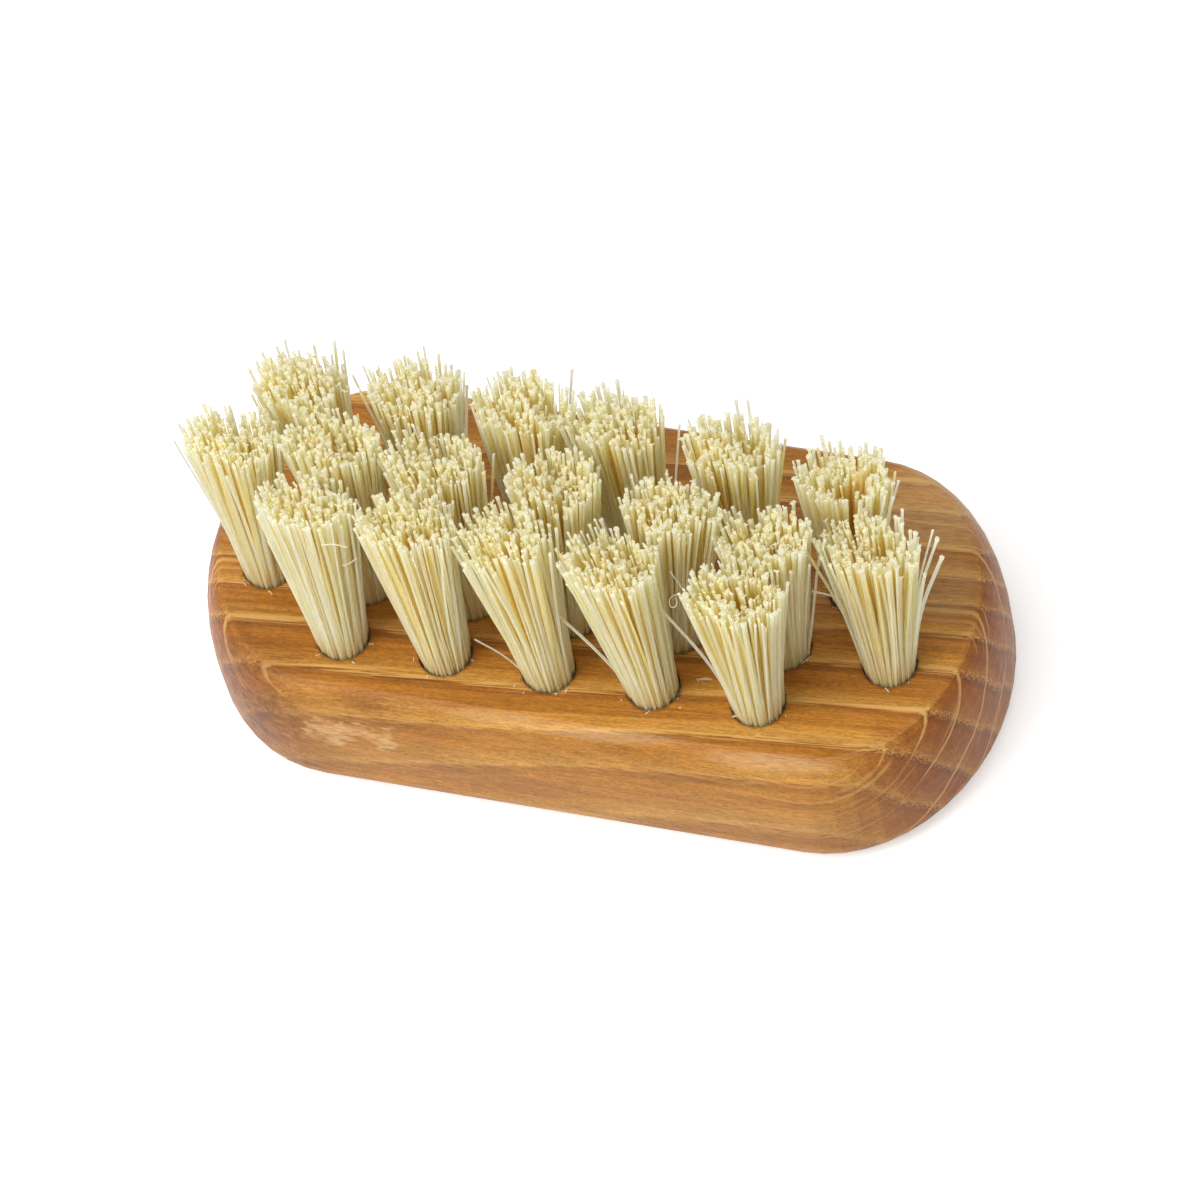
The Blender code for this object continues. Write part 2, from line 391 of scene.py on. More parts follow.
@dataclass(frozen=True)
class OiledHardwood:
    """Oiled ring-porous hardwood, one solid pattern that every face of the block cuts through.

    The grain runs nearly along X. Growth rings and rays are sheets along the grain, and the rays
    stand nearly square to the rings. Their places are measured across the sheets from the origin.

    A field that ends in _grain holds a noise's size along and across the grain in millimetres, then
    its octaves. One that ends in _step holds where a smooth step begins and ends, then the levels
    before and after it. Each of the streaks is a grain and a step.
    """

    mouths: tuple[Vector, ...] = ()
    grain_turn: float = math.radians(-5.5)
    noise_roughness: float = 0.55

    ring_direction: tuple = (0.0, 0.90, 0.43)
    ring_places_mm: tuple = (
        -26.0, -20.0, -15.4, -11.2, -6.0, -0.9, 3.4, 7.1, 10.6, 14.2, 18.2, 21.5, 27.0,
    )
    ray_direction: tuple = (0.0, 0.60, -0.80)
    ray_places_mm: tuple = (
        -33.0, -29.6, -26.2, -23.5, -20.1, -15.5, -10.0, -4.6, 0.6, 6.0, 11.0, 16.5,
    )
    wander_mm: float = 1.3
    wander_grain: tuple = (45.0, 14.0, 1.0)
    jag_mm: float = 0.32
    jag_grain: tuple = (30.0, 0.9, 3.0)

    line: Colour = tint(194, 140, 66)
    pale: Colour = tint(187, 132, 56)
    middle: Colour = tint(174, 113, 41)
    dark: Colour = tint(150, 94, 36)
    ray: Colour = tint(212, 164, 94)
    # Pale bare wood, for the flaked spots and for the painted highlights.
    scuff_and_highlight: Colour = tint(222, 184, 134)
    end_shade: Colour = (0.72, 0.52, 0.34, 1.0)
    # Dust and painted shade round the foot of each tuft.
    rim: Colour = tint(74, 44, 20)
    stain_and_shade: Colour = (0.54, 0.43, 0.36, 1.0)
    ring_stops: tuple = (
        (0.00, "line"), (0.04, "line"), (0.14, "pale"), (0.45, "middle"),
        (0.70, "middle"), (0.86, "dark"), (0.93, "dark"), (1.00, "line"),
    )

    end_facing: tuple = (0.25, 0.85)
    flank_facing: tuple = (0.45, 0.90)
    flank_painted_light: float = 0.30
    tone_grain: tuple = (38.0, 5.5, 2.0)
    tone_stops: tuple = (
        (0.32, (0.88, 0.83, 0.77, 1.0)),
        (0.50, (1.0, 1.0, 1.0, 1.0)),
        (0.68, (1.12, 1.15, 1.2, 1.0)),
    )
    streaks: tuple = (
        ((34.0, 1.1, 2.0), (0.30, 0.70, 0.89, 1.08)),
        ((16.0, 0.38, 2.0), (0.30, 0.70, 0.90, 1.07)),
        ((5.0, 0.16, 2.0), (0.30, 0.70, 0.85, 1.12)),
        ((0.55, 0.16, 2.0), (0.30, 0.70, 0.80, 1.18)),
    )

    vessel_grain: tuple = (5.0, 0.13, 1.0)
    vessel_step: tuple = (0.60, 0.70, 0.0, 0.32)
    pore_grain: tuple = (7.0, 0.22, 1.0)
    pore_step: tuple = (0.50, 0.56, 0.0, 1.0)
    pore_shift: float = 0.02
    pore_band_step: tuple = (0.03, 0.15, 0.80, 0.0)
    pore_aside_step: tuple = (0.0, 1.0, 1.0, 0.35)
    end_pore_loss: float = 0.5

    ray_step: tuple = (0.014, 0.050, 0.80, 0.0)
    ray_break_grain: tuple = (30.0, 7.0, 1.0)
    ray_break_step: tuple = (0.30, 0.50, 0.35, 1.0)
    ray_end_step_mm: tuple = (12.0, 40.0, 0.25, 1.0)
    ray_aside_step: tuple = (0.1, 1.0, 1.0, 0.30)
    fine_ray_scale: tuple = (1.9, 0.10)
    fine_ray_noise: tuple = (1.0, 1.0, 0.5)
    fine_ray_step: tuple = (0.62, 0.70, 0.0, 0.45)

    stains_and_shade: tuple[Spot, ...] = (
        # The first two darken the left end and its lower front corner: partly dark wood, partly painted
        # shade.
        Spot((-39.8, -15.5, 13.8), (0.095, 0.12, 0.10), 0.95),
        Spot((-37.5, -19.0, 8.0), (0.10, 0.18, 0.13), 0.85),
        Spot((38.0, -18.6, 17.9), (0.26, 0.40, 0.30), 0.60),
        Spot((-23.4, -19.2, 16.9), (0.17, 0.60, 0.50), 0.72),
        Spot((-31.5, -18.4, 15.2), (0.14, 0.55, 0.50), 0.62),
        Spot((42.5, -0.3, 18.0), (0.14, 0.28, 0.25), 0.45),
    )
    stain_grain: tuple = (3.2, 0.9, 3.0)
    stain_step: tuple = (0.36, 0.62, 0.45, 1.0)
    rim_noise: tuple = (1.3, 3.0, 0.6)
    rim_ragged_mm: float = 1.1
    rim_step_mm: tuple = (2.45, 3.05, 0.55, 0.0)
    rim_height_step: tuple = (0.94, 0.98, 0.0, 1.0)

    flaked: tuple[Spot, ...] = (
        Spot((-28.4, -20.3, 11.6), (0.20, 0.32, 0.34), 0.50),
        Spot((-21.8, -20.9, 11.6), (0.34, 0.50, 0.48), 0.42),
        Spot((-34.2, -18.6, 9.4), (0.60, 0.60, 0.60), 0.34),
        Spot((-24.0, -20.6, 13.8), (0.16, 0.60, 0.60), 0.26),
    )
    flake_grain: tuple = (1.8, 0.8, 6.0)
    flake_step: tuple = (0.72, 1.02, 0.0, 0.62)
    # Partly rubbing and partly painted highlight: the first three lie on the front top edge, and the last
    # two paint light at the back of the right end.
    rubbed_and_highlight: tuple[Spot, ...] = (
        Spot((24.3, -23.2, 17.4), (0.105, 0.80, 0.70), 0.40),
        Spot((4.4, -21.4, 17.6), (0.090, 1.10, 0.90), 0.34),
        Spot((-8.0, -20.2, 17.6), (0.120, 1.10, 0.90), 0.22),
        Spot((38.5, 12.5, 18.0), (0.11, 0.13, 0.20), 0.42),
        Spot((40.8, 1.5, 18.0), (0.22, 0.20, 0.40), 0.22),
    )
    soft_fade: tuple = (0.2, 1.24)
    rubbed_and_highlight_fade: tuple = (0.4, 1.18)
    wear_grain: tuple = (1.6, 0.22, 2.0)
    wear_step: tuple = (0.30, 0.60, 0.45, 1.0)

    grit_grain: tuple = (3.0, 0.14, 2.0)
    grit_bump: tuple = (0.40, 0.06 * MM)
    roughness_step: tuple = (0.3, 0.75, 0.34, 0.52)
    wear_and_highlight_roughness: float = 0.15
    specular: float = 0.27

    def build(self) -> bpy.types.Material:
        """Wire the wood, from its rings to the marks of use on its surface, with its painted shade and
        painted highlights.

        Returns:
            The wood's material.
        """
        wiring = Wiring("oiled_hardwood")
        turn = (0.0, 0.0, self.grain_turn)
        place = wiring.mapping(wiring.coordinates("Object"), TO_MM, turn)
        wandered = self.wander(wiring, place)
        end_grain = self.facing(wiring, X_AXIS, *self.end_facing)
        flank = self.facing(wiring, Y_AXIS, *self.flank_facing)
        phase = self.ring_phase(wiring, place, wandered)
        colour = wiring.ramp(phase, [(stop, getattr(self, name)) for stop, name in self.ring_stops])
        # The front and back faces turn paler: partly from their side grain, partly as painted light.
        colour = wiring.mix(wiring.maths("MULTIPLY", flank, self.flank_painted_light), colour, self.pale)
        colour = self.add_tones(wiring, colour, wandered)
        colour = self.add_streaks(wiring, colour, place)
        colour = wiring.mix(end_grain, colour, self.end_shade, "MULTIPLY")
        aside = wiring.maths("MAXIMUM", flank, wiring.maths("MULTIPLY", end_grain, self.end_pore_loss))
        colour = self.add_pores(wiring, colour, place, phase, aside)
        colour = self.add_rays(wiring, colour, place, wandered, flank)
        colour = self.add_stains_and_shade(wiring, colour, place)
        colour = self.add_rim_dust_and_shade(wiring, colour)
        # Flaked wear, and painted highlights on the edges, in pale bare wood.
        wear_and_highlight_mask = self.wear_and_highlight(wiring, place)
        colour = wiring.mix(wear_and_highlight_mask, colour, self.scuff_and_highlight)
        grit = self.noise_along(wiring, place, self.grit_grain)
        rough = wiring.between(grit, *self.roughness_step)
        rough = wiring.maths("ADD", rough, wiring.maths("MULTIPLY", wear_and_highlight_mask, self.wear_and_highlight_roughness))
        surface = wiring.shader(
            "ShaderNodeBsdfPrincipled",
            Base_Color=colour,
            Roughness=rough,
            Specular_IOR_Level=self.specular,
            Normal=wiring.bump(grit, *self.grit_bump),
        )
        return wiring.finish(surface)

    def noise_along(self, wiring: Wiring, place: Socket, grain: tuple, output: str = "Fac") -> Socket:
        """Read a noise that is drawn out along the grain.

        Args:
            wiring: The material's nodes.
            place: The place along the grain, in millimetres.
            grain: Its size along and across the grain in millimetres, and its octaves.
            output: The noise node's output to read.

        Returns:
            That output.
        """
        along, across, detail = grain
        vector = wiring.mapping(place, (1 / along, 1 / across, 1 / across))
        return wiring.noise(vector, 1.0, detail, self.noise_roughness, output)

    def wander(self, wiring: Wiring, place: Socket) -> Socket:
        """Move places a little across the grain, so that the sheets of wood wander.

        Args:
            wiring: The material's nodes.
            place: The place along the grain, in millimetres.

        Returns:
            The moved place.
        """
        slow = self.noise_along(wiring, place, self.wander_grain, "Color")
        shift = wiring.vectors("SUBTRACT", slow, (0.5, 0.5, 0.5))
        shift = wiring.vectors("MULTIPLY", shift, (0.0, 2 * self.wander_mm, 2 * self.wander_mm))
        return wiring.vectors("ADD", place, shift)

    def count_along(self, wiring: Wiring, value: Socket, places: tuple) -> Socket:
        """Count sheets of wood.

        Args:
            wiring: The material's nodes.
            value: How far a point lies across the sheets, in millimetres.
            places: Where each sheet lies.

        Returns:
            The count, a whole number at each sheet and even between them.
        """
        first, last = places[0], places[-1]
        steps = len(places) - 1
        share = wiring.maths("SUBTRACT", value, first)
        share = wiring.maths("DIVIDE", share, last - first, clamp=True)
        stops = []
        for number, at in enumerate(places):
            level = number / steps
            stops.append(((at - first) / (last - first), (level, level, level, 1.0)))
        level = wiring.ramp(share, stops, smooth=False)
        return wiring.maths("MULTIPLY", level, float(steps))

    def ring_phase(self, wiring: Wiring, place: Socket, wandered: Socket) -> Socket:
        """Find how far a point lies from one growth ring to the next.

        Args:
            wiring: The material's nodes.
            place: The place along the grain, in millimetres.
            wandered: The same place, moved a little.

        Returns:
            The share of the way, 0 to 1.
        """
        jag = self.noise_along(wiring, place, self.jag_grain)
        jag = wiring.maths("MULTIPLY_ADD", jag, 2 * self.jag_mm)
        wiring.feed(jag.node.inputs[2], -self.jag_mm)
        across = wiring.vectors("DOT_PRODUCT", wandered, self.ring_direction)
        across = wiring.maths("ADD", across, jag)
        return wiring.maths("FRACT", self.count_along(wiring, across, self.ring_places_mm))

    def add_tones(self, wiring: Wiring, colour: Socket, wandered: Socket) -> Socket:
        """Make whole bands of the wood lighter or darker."""
        broad = self.noise_along(wiring, wandered, self.tone_grain)
        return wiring.mix(1.0, colour, wiring.ramp(broad, self.tone_stops), "MULTIPLY")

    def add_streaks(self, wiring: Wiring, colour: Socket, place: Socket) -> Socket:
        """Draw the fibre of the wood as long fine streaks.

        Args:
            wiring: The material's nodes.
            colour: The wood so far.
            place: The place along the grain, in millimetres.

        Returns:
            The wood with its streaks.
        """
        for grain, step in self.streaks:
            level = wiring.between(self.noise_along(wiring, place, grain), *step)
            colour = wiring.mix(1.0, colour, level, "MULTIPLY")
        return colour

    def add_pores(
        self, wiring: Wiring, colour: Socket, place: Socket, phase: Socket, aside: Socket
    ) -> Socket:
        """Set fine dark vessels everywhere and pale open ones along each ring.

        Args:
            wiring: The material's nodes.
            colour: The wood so far.
            place: The place along the grain, in millimetres.
            phase: How far a point lies from one ring to the next.
            aside: How far the face looks aside or endways, where the open pores show less.

        Returns:
            The wood with its pores.
        """
        dark = wiring.between(self.noise_along(wiring, place, self.vessel_grain), *self.vessel_step)
        colour = wiring.mix(dark, colour, self.dark)
        open_pores = wiring.between(self.noise_along(wiring, place, self.pore_grain), *self.pore_step)
        edge = wiring.maths("PINGPONG", wiring.maths("ADD", phase, self.pore_shift), 0.5)
        near = wiring.between(edge, *self.pore_band_step)
        near = wiring.maths("MULTIPLY", near, wiring.between(aside, *self.pore_aside_step))
        return wiring.mix(wiring.maths("MULTIPLY", open_pores, near), colour, self.ray)

    def add_rays(
        self, wiring: Wiring, colour: Socket, place: Socket, wandered: Socket, flank: Socket
    ) -> Socket:
        """Draw the bright broad rays, which fade away from the ends, and the fine ones between them.

        Args:
            wiring: The material's nodes.
            colour: The wood so far.
            place: The place along the grain, in millimetres.
            wandered: The same place, moved a little.
            flank: How far the face looks to the front or back.

        Returns:
            The wood with its rays.
        """
        across = wiring.vectors("DOT_PRODUCT", wandered, self.ray_direction)
        count = self.count_along(wiring, across, self.ray_places_mm)
        broad = wiring.between(wiring.maths("PINGPONG", count, 0.5), *self.ray_step)
        breaks = self.noise_along(wiring, place, self.ray_break_grain)
        broad = wiring.maths("MULTIPLY", broad, wiring.between(breaks, *self.ray_break_step))
        reach = wiring.vectors("DOT_PRODUCT", place, X_AXIS)
        near_end = wiring.between(wiring.maths("ABSOLUTE", reach), *self.ray_end_step_mm)
        broad = wiring.maths("MULTIPLY", broad, near_end)
        broad = wiring.maths("MULTIPLY", broad, wiring.between(flank, *self.ray_aside_step))
        colour = wiring.mix(broad, colour, self.ray)
        along_ring = wiring.vectors("DOT_PRODUCT", wandered, self.ring_direction)
        joined = wiring.node("ShaderNodeCombineXYZ")
        wiring.feed(joined.inputs["X"], wiring.maths("MULTIPLY", across, self.fine_ray_scale[0]))
        wiring.feed(joined.inputs["Y"], wiring.maths("MULTIPLY", along_ring, self.fine_ray_scale[1]))
        fine = wiring.noise(joined.outputs["Vector"], *self.fine_ray_noise)
        fine = wiring.maths("MULTIPLY", wiring.between(fine, *self.fine_ray_step), near_end)
        return wiring.mix(fine, colour, self.ray)

    def add_stains_and_shade(self, wiring: Wiring, colour: Socket, place: Socket) -> Socket:
        """Darken mottled spots where oil has gathered, and paint shade on the left end and its lower
        front corner.

        Args:
            wiring: The material's nodes.
            colour: The wood so far.
            place: The place along the grain, in millimetres.

        Returns:
            The stained wood.
        """
        mottle = wiring.between(self.noise_along(wiring, place, self.stain_grain), *self.stain_step)
        for spot in self.stains_and_shade:
            share = wiring.maths("MULTIPLY", spot.strength(wiring, place, self.soft_fade), mottle)
            colour = wiring.mix(share, colour, wiring.mix(1.0, colour, self.stain_and_shade, "MULTIPLY"))
        return colour

    def add_rim_dust_and_shade(self, wiring: Wiring, colour: Socket) -> Socket:
        """Darken the bristle face round the mouth of each bore, with dust that settles there and painted
        shade where the tuft meets the wood.

        Args:
            wiring: The material's nodes.
            colour: The wood so far.

        Returns:
            The wood with its dark rims.
        """
        if not self.mouths:
            return colour
        flat = wiring.mapping(wiring.coordinates("Object"), (1 / MM, 1 / MM, 0.0))
        middles = [(mouth.x / MM, mouth.y / MM, 0.0) for mouth in self.mouths]
        nearest = wiring.vectors("DISTANCE", flat, middles[0])
        for middle in middles[1:]:
            nearest = wiring.maths("MINIMUM", nearest, wiring.vectors("DISTANCE", flat, middle))
        ragged = wiring.noise(flat, *self.rim_noise)
        reach = wiring.maths("SUBTRACT", nearest, wiring.maths("MULTIPLY", ragged, self.rim_ragged_mm))
        upwards = (0.0, 0.0, 1 / self.mouths[0].z)
        height = wiring.vectors("DOT_PRODUCT", wiring.coordinates("Object"), upwards)
        on_top = wiring.between(height, *self.rim_height_step)
        share = wiring.maths("MULTIPLY", wiring.between(reach, *self.rim_step_mm), on_top)
        return wiring.mix(share, colour, self.rim)

    def wear_and_highlight(self, wiring: Wiring, place: Socket) -> Socket:
        """Mark where handling has taken the oil off in flaked spots, and the spots that are partly
        rubbing and partly painted highlight.

        Args:
            wiring: The material's nodes.
            place: The place along the grain, in millimetres.

        Returns:
            How strongly the flaked wear and the painted highlights show, 0 to 1.
        """
        patch = self.flaked[0].strength(wiring, place, self.soft_fade)
        for spot in self.flaked[1:]:
            patch = wiring.maths("ADD", patch, spot.strength(wiring, place, self.soft_fade))
        flakes = self.noise_along(wiring, place, self.flake_grain)
        wear_and_highlight_mask = wiring.between(wiring.maths("ADD", flakes, patch), *self.flake_step)
        thin = wiring.between(self.noise_along(wiring, place, self.wear_grain), *self.wear_step)
        wear_and_highlight_mask = wiring.maths("MULTIPLY", wear_and_highlight_mask, thin)
        for spot in self.rubbed_and_highlight:
            rub = wiring.maths("MULTIPLY", spot.strength(wiring, place, self.rubbed_and_highlight_fade), thin)
            wear_and_highlight_mask = wiring.maths("MAXIMUM", wear_and_highlight_mask, rub)
        return wear_and_highlight_mask

    def facing(self, wiring: Wiring, way: tuple, low: float, high: float) -> Socket:
        """Return how squarely a face looks one way or the opposite way.

        Args:
            wiring: The material's nodes.
            way: The way.
            low: The cosine where it begins to count.
            high: The cosine where it counts in full.

        Returns:
            The share, 0 to 1.
        """
        along = wiring.vectors("DOT_PRODUCT", wiring.coordinates("Normal"), way)
        return wiring.between(wiring.maths("ABSOLUTE", along), low, high)


@dataclass(frozen=True)
class PlantFibre:
    """Tampico kind plant fibre, pale outside and golden where the light has passed through it; the inner
    fibres are also painted golden below their tips, as painted shade in the depth of the bundle.

    A field that ends in _step holds where a smooth step begins and ends, then the levels before and
    after it. One that ends in _noise holds a noise's scale, octaves and roughness.
    """

    foot: Colour = tint(248, 243, 218)
    shank: Colour = tint(251, 252, 247)
    tip: Colour = tint(254, 253, 246)
    # Golden painted shade for the inner fibres below their tips.
    painted_shade: Colour = tint(254, 241, 164)
    golden: Colour = tint(254, 247, 212)
    green: Colour = tint(249, 250, 220)
    brown: Colour = tint(246, 224, 172)
    glow: Colour = tint(253, 252, 235)
    length_stops: tuple = ((0.0, "foot"), (0.22, "shank"), (0.90, "shank"), (1.0, "tip"))
    painted_shade_share: float = 0.9
    golden_step: tuple = (0.60, 1.0, 0.0, 0.50)
    green_step: tuple = (0.12, 0.0, 0.0, 0.60)
    brown_step: tuple = (0.985, 0.995, 0.0, 0.8)
    streak_scale: tuple = (3.2, 3.2, 0.22)
    streak_noise: tuple = (1.0, 2.0, 0.6)
    streak_step: tuple = (0.3, 0.7, 0.95, 1.02)
    streak_bump: tuple = (0.25, 0.03 * MM)
    roughness_step: tuple = (0.3, 0.7, 0.58, 0.74)
    specular: float = 0.16
    glow_tint: float = 0.5
    glow_share: float = 0.76

    def build(self) -> bpy.types.Material:
        """Wire the fibre, which lets most of the light through.

        Returns:
            The fibre's material.
        """
        wiring = Wiring("plant_fibre")
        place = wiring.mapping(wiring.coordinates("Object"), TO_MM)
        tone = wiring.attribute("tone")
        stops = [(stop, getattr(self, name)) for stop, name in self.length_stops]
        colour = wiring.ramp(wiring.attribute("grow"), stops)
        colour = wiring.mix(wiring.between(tone, *self.golden_step), colour, self.golden)
        painted_shade = wiring.maths("MULTIPLY", wiring.attribute("painted_shade"), self.painted_shade_share)
        colour = wiring.mix(painted_shade, colour, self.painted_shade)
        colour = wiring.mix(wiring.between(tone, *self.green_step), colour, self.green)
        colour = wiring.mix(wiring.between(tone, *self.brown_step), colour, self.brown)
        streak = wiring.noise(wiring.mapping(place, self.streak_scale), *self.streak_noise)
        colour = wiring.mix(1.0, colour, wiring.between(streak, *self.streak_step), "MULTIPLY")
        solid = wiring.shader(
            "ShaderNodeBsdfPrincipled",
            Base_Color=colour,
            Roughness=wiring.between(streak, *self.roughness_step),
            Specular_IOR_Level=self.specular,
            Normal=wiring.bump(streak, *self.streak_bump),
        )
        passed = wiring.mix(self.glow_tint, colour, self.glow)
        through = wiring.shader("ShaderNodeBsdfTranslucent", Color=passed)
        return wiring.finish(wiring.mix_shaders(self.glow_share, solid, through))


@dataclass(frozen=True)
class ZincWire:
    """Zinc-plated flat wire, drawn lengthways."""

    bright: Colour = tint(196, 200, 204)
    dull: Colour = tint(150, 154, 158)
    draw_scale: tuple = (0.3 / MM, 6 / MM, 6 / MM)
    draw_noise: tuple = (1.0, 3.0, 0.6)
    draw_bump: tuple = (0.2, 0.01 * MM)
    low: float = 0.3
    high: float = 0.7
    roughness: tuple = (0.28, 0.46)

    def build(self) -> bpy.types.Material:
        """Wire the finish, with marks that run along the wire.

        Returns:
            The wire's material.
        """
        wiring = Wiring("zinc_plated_wire")
        place = wiring.mapping(wiring.coordinates("Object"), self.draw_scale)
        drawn = wiring.noise(place, *self.draw_noise)
        surface = wiring.shader(
            "ShaderNodeBsdfPrincipled",
            Base_Color=wiring.ramp(drawn, [(self.low, self.dull), (self.high, self.bright)]),
            Roughness=wiring.between(drawn, self.low, self.high, *self.roughness),
            Metallic=1.0,
            Normal=wiring.bump(drawn, *self.draw_bump),
        )
        return wiring.finish(surface)


@dataclass(frozen=True)
class PaleFloor:
    """White studio floor that reads as pure white where nothing shades it."""

    colour: Colour = (0.80, 0.80, 0.80, 1.0)
    lift: float = 0.46

    def build(self) -> bpy.types.Material:
        """Wire the floor, which lights up a little where the background is seen.

        Returns:
            The floor's material.
        """
        wiring = Wiring("studio_floor")
        diffuse = wiring.shader("ShaderNodeBsdfDiffuse", Color=self.colour)
        lift = wiring.maths("MULTIPLY", wiring.background_seen(), self.lift)
        glow = wiring.shader("ShaderNodeEmission", Strength=lift)
        both = wiring.node("ShaderNodeAddShader")
        wiring.feed(both.inputs[0], diffuse)
        wiring.feed(both.inputs[1], glow)
        return wiring.finish(both.outputs["Shader"])


@dataclass(frozen=True)
class Bore:
    """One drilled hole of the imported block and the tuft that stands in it.

    Heights are measured up from the mouth of the bore.
    """

    name: str
    mouth: Vector
    tip_height: float
    fold_bottom: float
    anchor_bottom: float

    @staticmethod
    def read(name: str, surface: float) -> "Bore":
        """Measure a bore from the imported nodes.

        Args:
            name: Row and number, such as front_1.
            surface: The height of the bristle face.

        Returns:
            The bore.
        """
        anchor_low, anchor_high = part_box(f"anchor_{name}")
        tuft_low, tuft_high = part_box(f"tuft_{name}")
        centre = (anchor_low + anchor_high) / 2
        return Bore(
            name=name,
            mouth=Vector((centre.x, centre.y, surface)),
            tip_height=tuft_high.z - surface,
            fold_bottom=tuft_low.z - surface,
            anchor_bottom=anchor_low.z - surface,
        )


def read_bores() -> list[Bore]:
    """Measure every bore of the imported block.

    Returns:
        The bores, in the order of their names.
    """
    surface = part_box("wood_block")[1].z
    prefix = "tuft_"
    names = sorted(node[len(prefix):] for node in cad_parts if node.startswith(prefix))
    return [Bore.read(name, surface) for name in names]


def way_at(angle: float) -> Vector:
    """Return the level unit vector at an angle from the X axis."""
    return Vector((math.cos(angle), math.sin(angle), 0.0))


def finish_object(
    name: str, work: bmesh.types.BMesh, material: bpy.types.Material
) -> bpy.types.Object:
    """Turn a finished bmesh into a smooth piece that rides on the block.

    Args:
        name: The piece's name.
        work: Its shape, which is freed.
        material: Its finish.

    Returns:
        The new object.
    """
    mesh = bpy.data.meshes.new(name)
    work.to_mesh(mesh)
    work.free()
    mesh.shade_smooth()
    mesh.set_sharp_from_angle(angle=SHARP_ANGLE)
    mesh.materials.append(material)
    item = bpy.data.objects.new(name, mesh)
    bpy.context.scene.collection.objects.link(item)
    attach(item, BODY)
    return item


@dataclass
class Strand:
    """A thin round thing swept along a path: a fibre, a sliver or a crumb.

    The path, the radii and the numbers for colour, grow and painted shade, have one entry for each ring.
    """

    path: list[Vector]
    radii: list[float]
    grow: list[float]
    tone: float
    painted_shade: list[float] = field(default_factory=list)
    flatness: float = 0.85
    turn: float = 0.0
    sides: int = 5

    def ring_matrices(self) -> list[Matrix]:
        """Work out the place, heading and size of the ring at each point of the path.

        Returns:
            The matrix of each ring.
        """
        last = len(self.path) - 1
        tangents = []
        for number in range(last + 1):
            ahead = self.path[min(number + 1, last)]
            behind = self.path[max(number - 1, 0)]
            tangents.append((ahead - behind).normalized())
        across = tangents[0].orthogonal().normalized()
        across.rotate(Matrix.Rotation(self.turn, 3, tangents[0]))
        matrices = []
        for number, tangent in enumerate(tangents):
            if number:
                across.rotate(tangents[number - 1].rotation_difference(tangent))
            other = tangent.cross(across).normalized()
            radius = self.radii[number]
            matrix = Matrix.Identity(4)
            matrix.col[0][:3] = across * radius
            matrix.col[1][:3] = other * (radius * self.flatness)
            matrix.col[2][:3] = tangent * radius
            matrix.col[3][:3] = self.path[number]
            matrices.append(matrix)
        return matrices

    def sweep(self) -> bmesh.types.BMesh:
        """Extrude a ring from the path's start to its end and close it at both ends.

        Returns:
            The strand, with its numbers for colour on every vertex.
        """
        work = strand_work()
        layers = [work.verts.layers.float[name] for name in STRAND_LAYERS]
        painted_shade = self.painted_shade or [0.0] * len(self.path)
        matrices = self.ring_matrices()
        made = bmesh.ops.create_circle(
            work, cap_ends=True, segments=self.sides, radius=1.0, matrix=matrices[0]
        )
        verts = made["verts"]
        edges = work.edges[:]
        for number, matrix in enumerate(matrices):
            if number:
                made = bmesh.ops.extrude_edge_only(work, edges=edges)
                verts = [part for part in made["geom"] if isinstance(part, bmesh.types.BMVert)]
                ring = set(verts)
                edges = [
                    part
                    for part in made["geom"]
                    if isinstance(part, bmesh.types.BMEdge) and ring.issuperset(part.verts)
                ]
                step = matrix @ matrices[number - 1].inverted()
                bmesh.ops.transform(work, matrix=step, verts=verts)
            levels = (self.grow[number], self.tone, painted_shade[number])
            for vert in verts:
                for layer, level in zip(layers, levels):
                    vert[layer] = level
        bmesh.ops.edgeloop_fill(work, edges=edges)
        bmesh.ops.recalc_face_normals(work, faces=work.faces)
        return work


def strand_work() -> bmesh.types.BMesh:
    """Start a bmesh with the number layers that a strand writes.

    Returns:
        The empty bmesh.
    """
    work = bmesh.new()
    for name in STRAND_LAYERS:
        work.verts.layers.float.new(name)
    return work


def rank(face: bmesh.types.BMFace) -> float:
    """Return a number that puts faces in the order of their first two vertices."""
    return face.verts[0].index + face.verts[1].index / MOST_VERTS


def gather(strands: list[Strand]) -> bmesh.types.BMesh:
    """Sweep strands one by one and put them together.

    Extruding leaves the faces in an order that changes from run to run, so they are sorted.

    Args:
        strands: The strands.

    Returns:
        One bmesh that holds them all.
    """
    whole = strand_work()
    carrier = bpy.data.meshes.new("carrier")
    for strand in strands:
        work = strand.sweep()
        work.to_mesh(carrier)
        work.free()
        whole.from_mesh(carrier)
    bpy.data.meshes.remove(carrier)
    whole.verts.index_update()
    whole.faces.sort(key=rank)
    return whole


def rounded(path: list[Vector], passes: int = 2) -> list[Vector]:
    """Cut the corners of a path, a quarter of each side, so that it bends smoothly from end to end.

    Args:
        path: The path.
        passes: How often to cut.

    Returns:
        The smoother path.
    """
    for _ in range(passes):
        cut = [path[0]]
        for start, end in zip(path, path[1:]):
            cut += [start.lerp(end, 0.25), start.lerp(end, 0.75)]
        path = [*cut, path[-1]]
    return path


def bent(centre: Vector, half: Vector, bend: float) -> list[Vector]:
    """Lay a short level path that bends aside in its middle.

    Args:
        centre: Its middle.
        half: The way from there to its end.
        bend: How far it bends, as a share of its half length.

    Returns:
        Its start, its bent middle and its end.
    """
    aside = Vector((-half.y, half.x, 0.0)) * bend
    return [centre - half, centre + aside, centre + half]


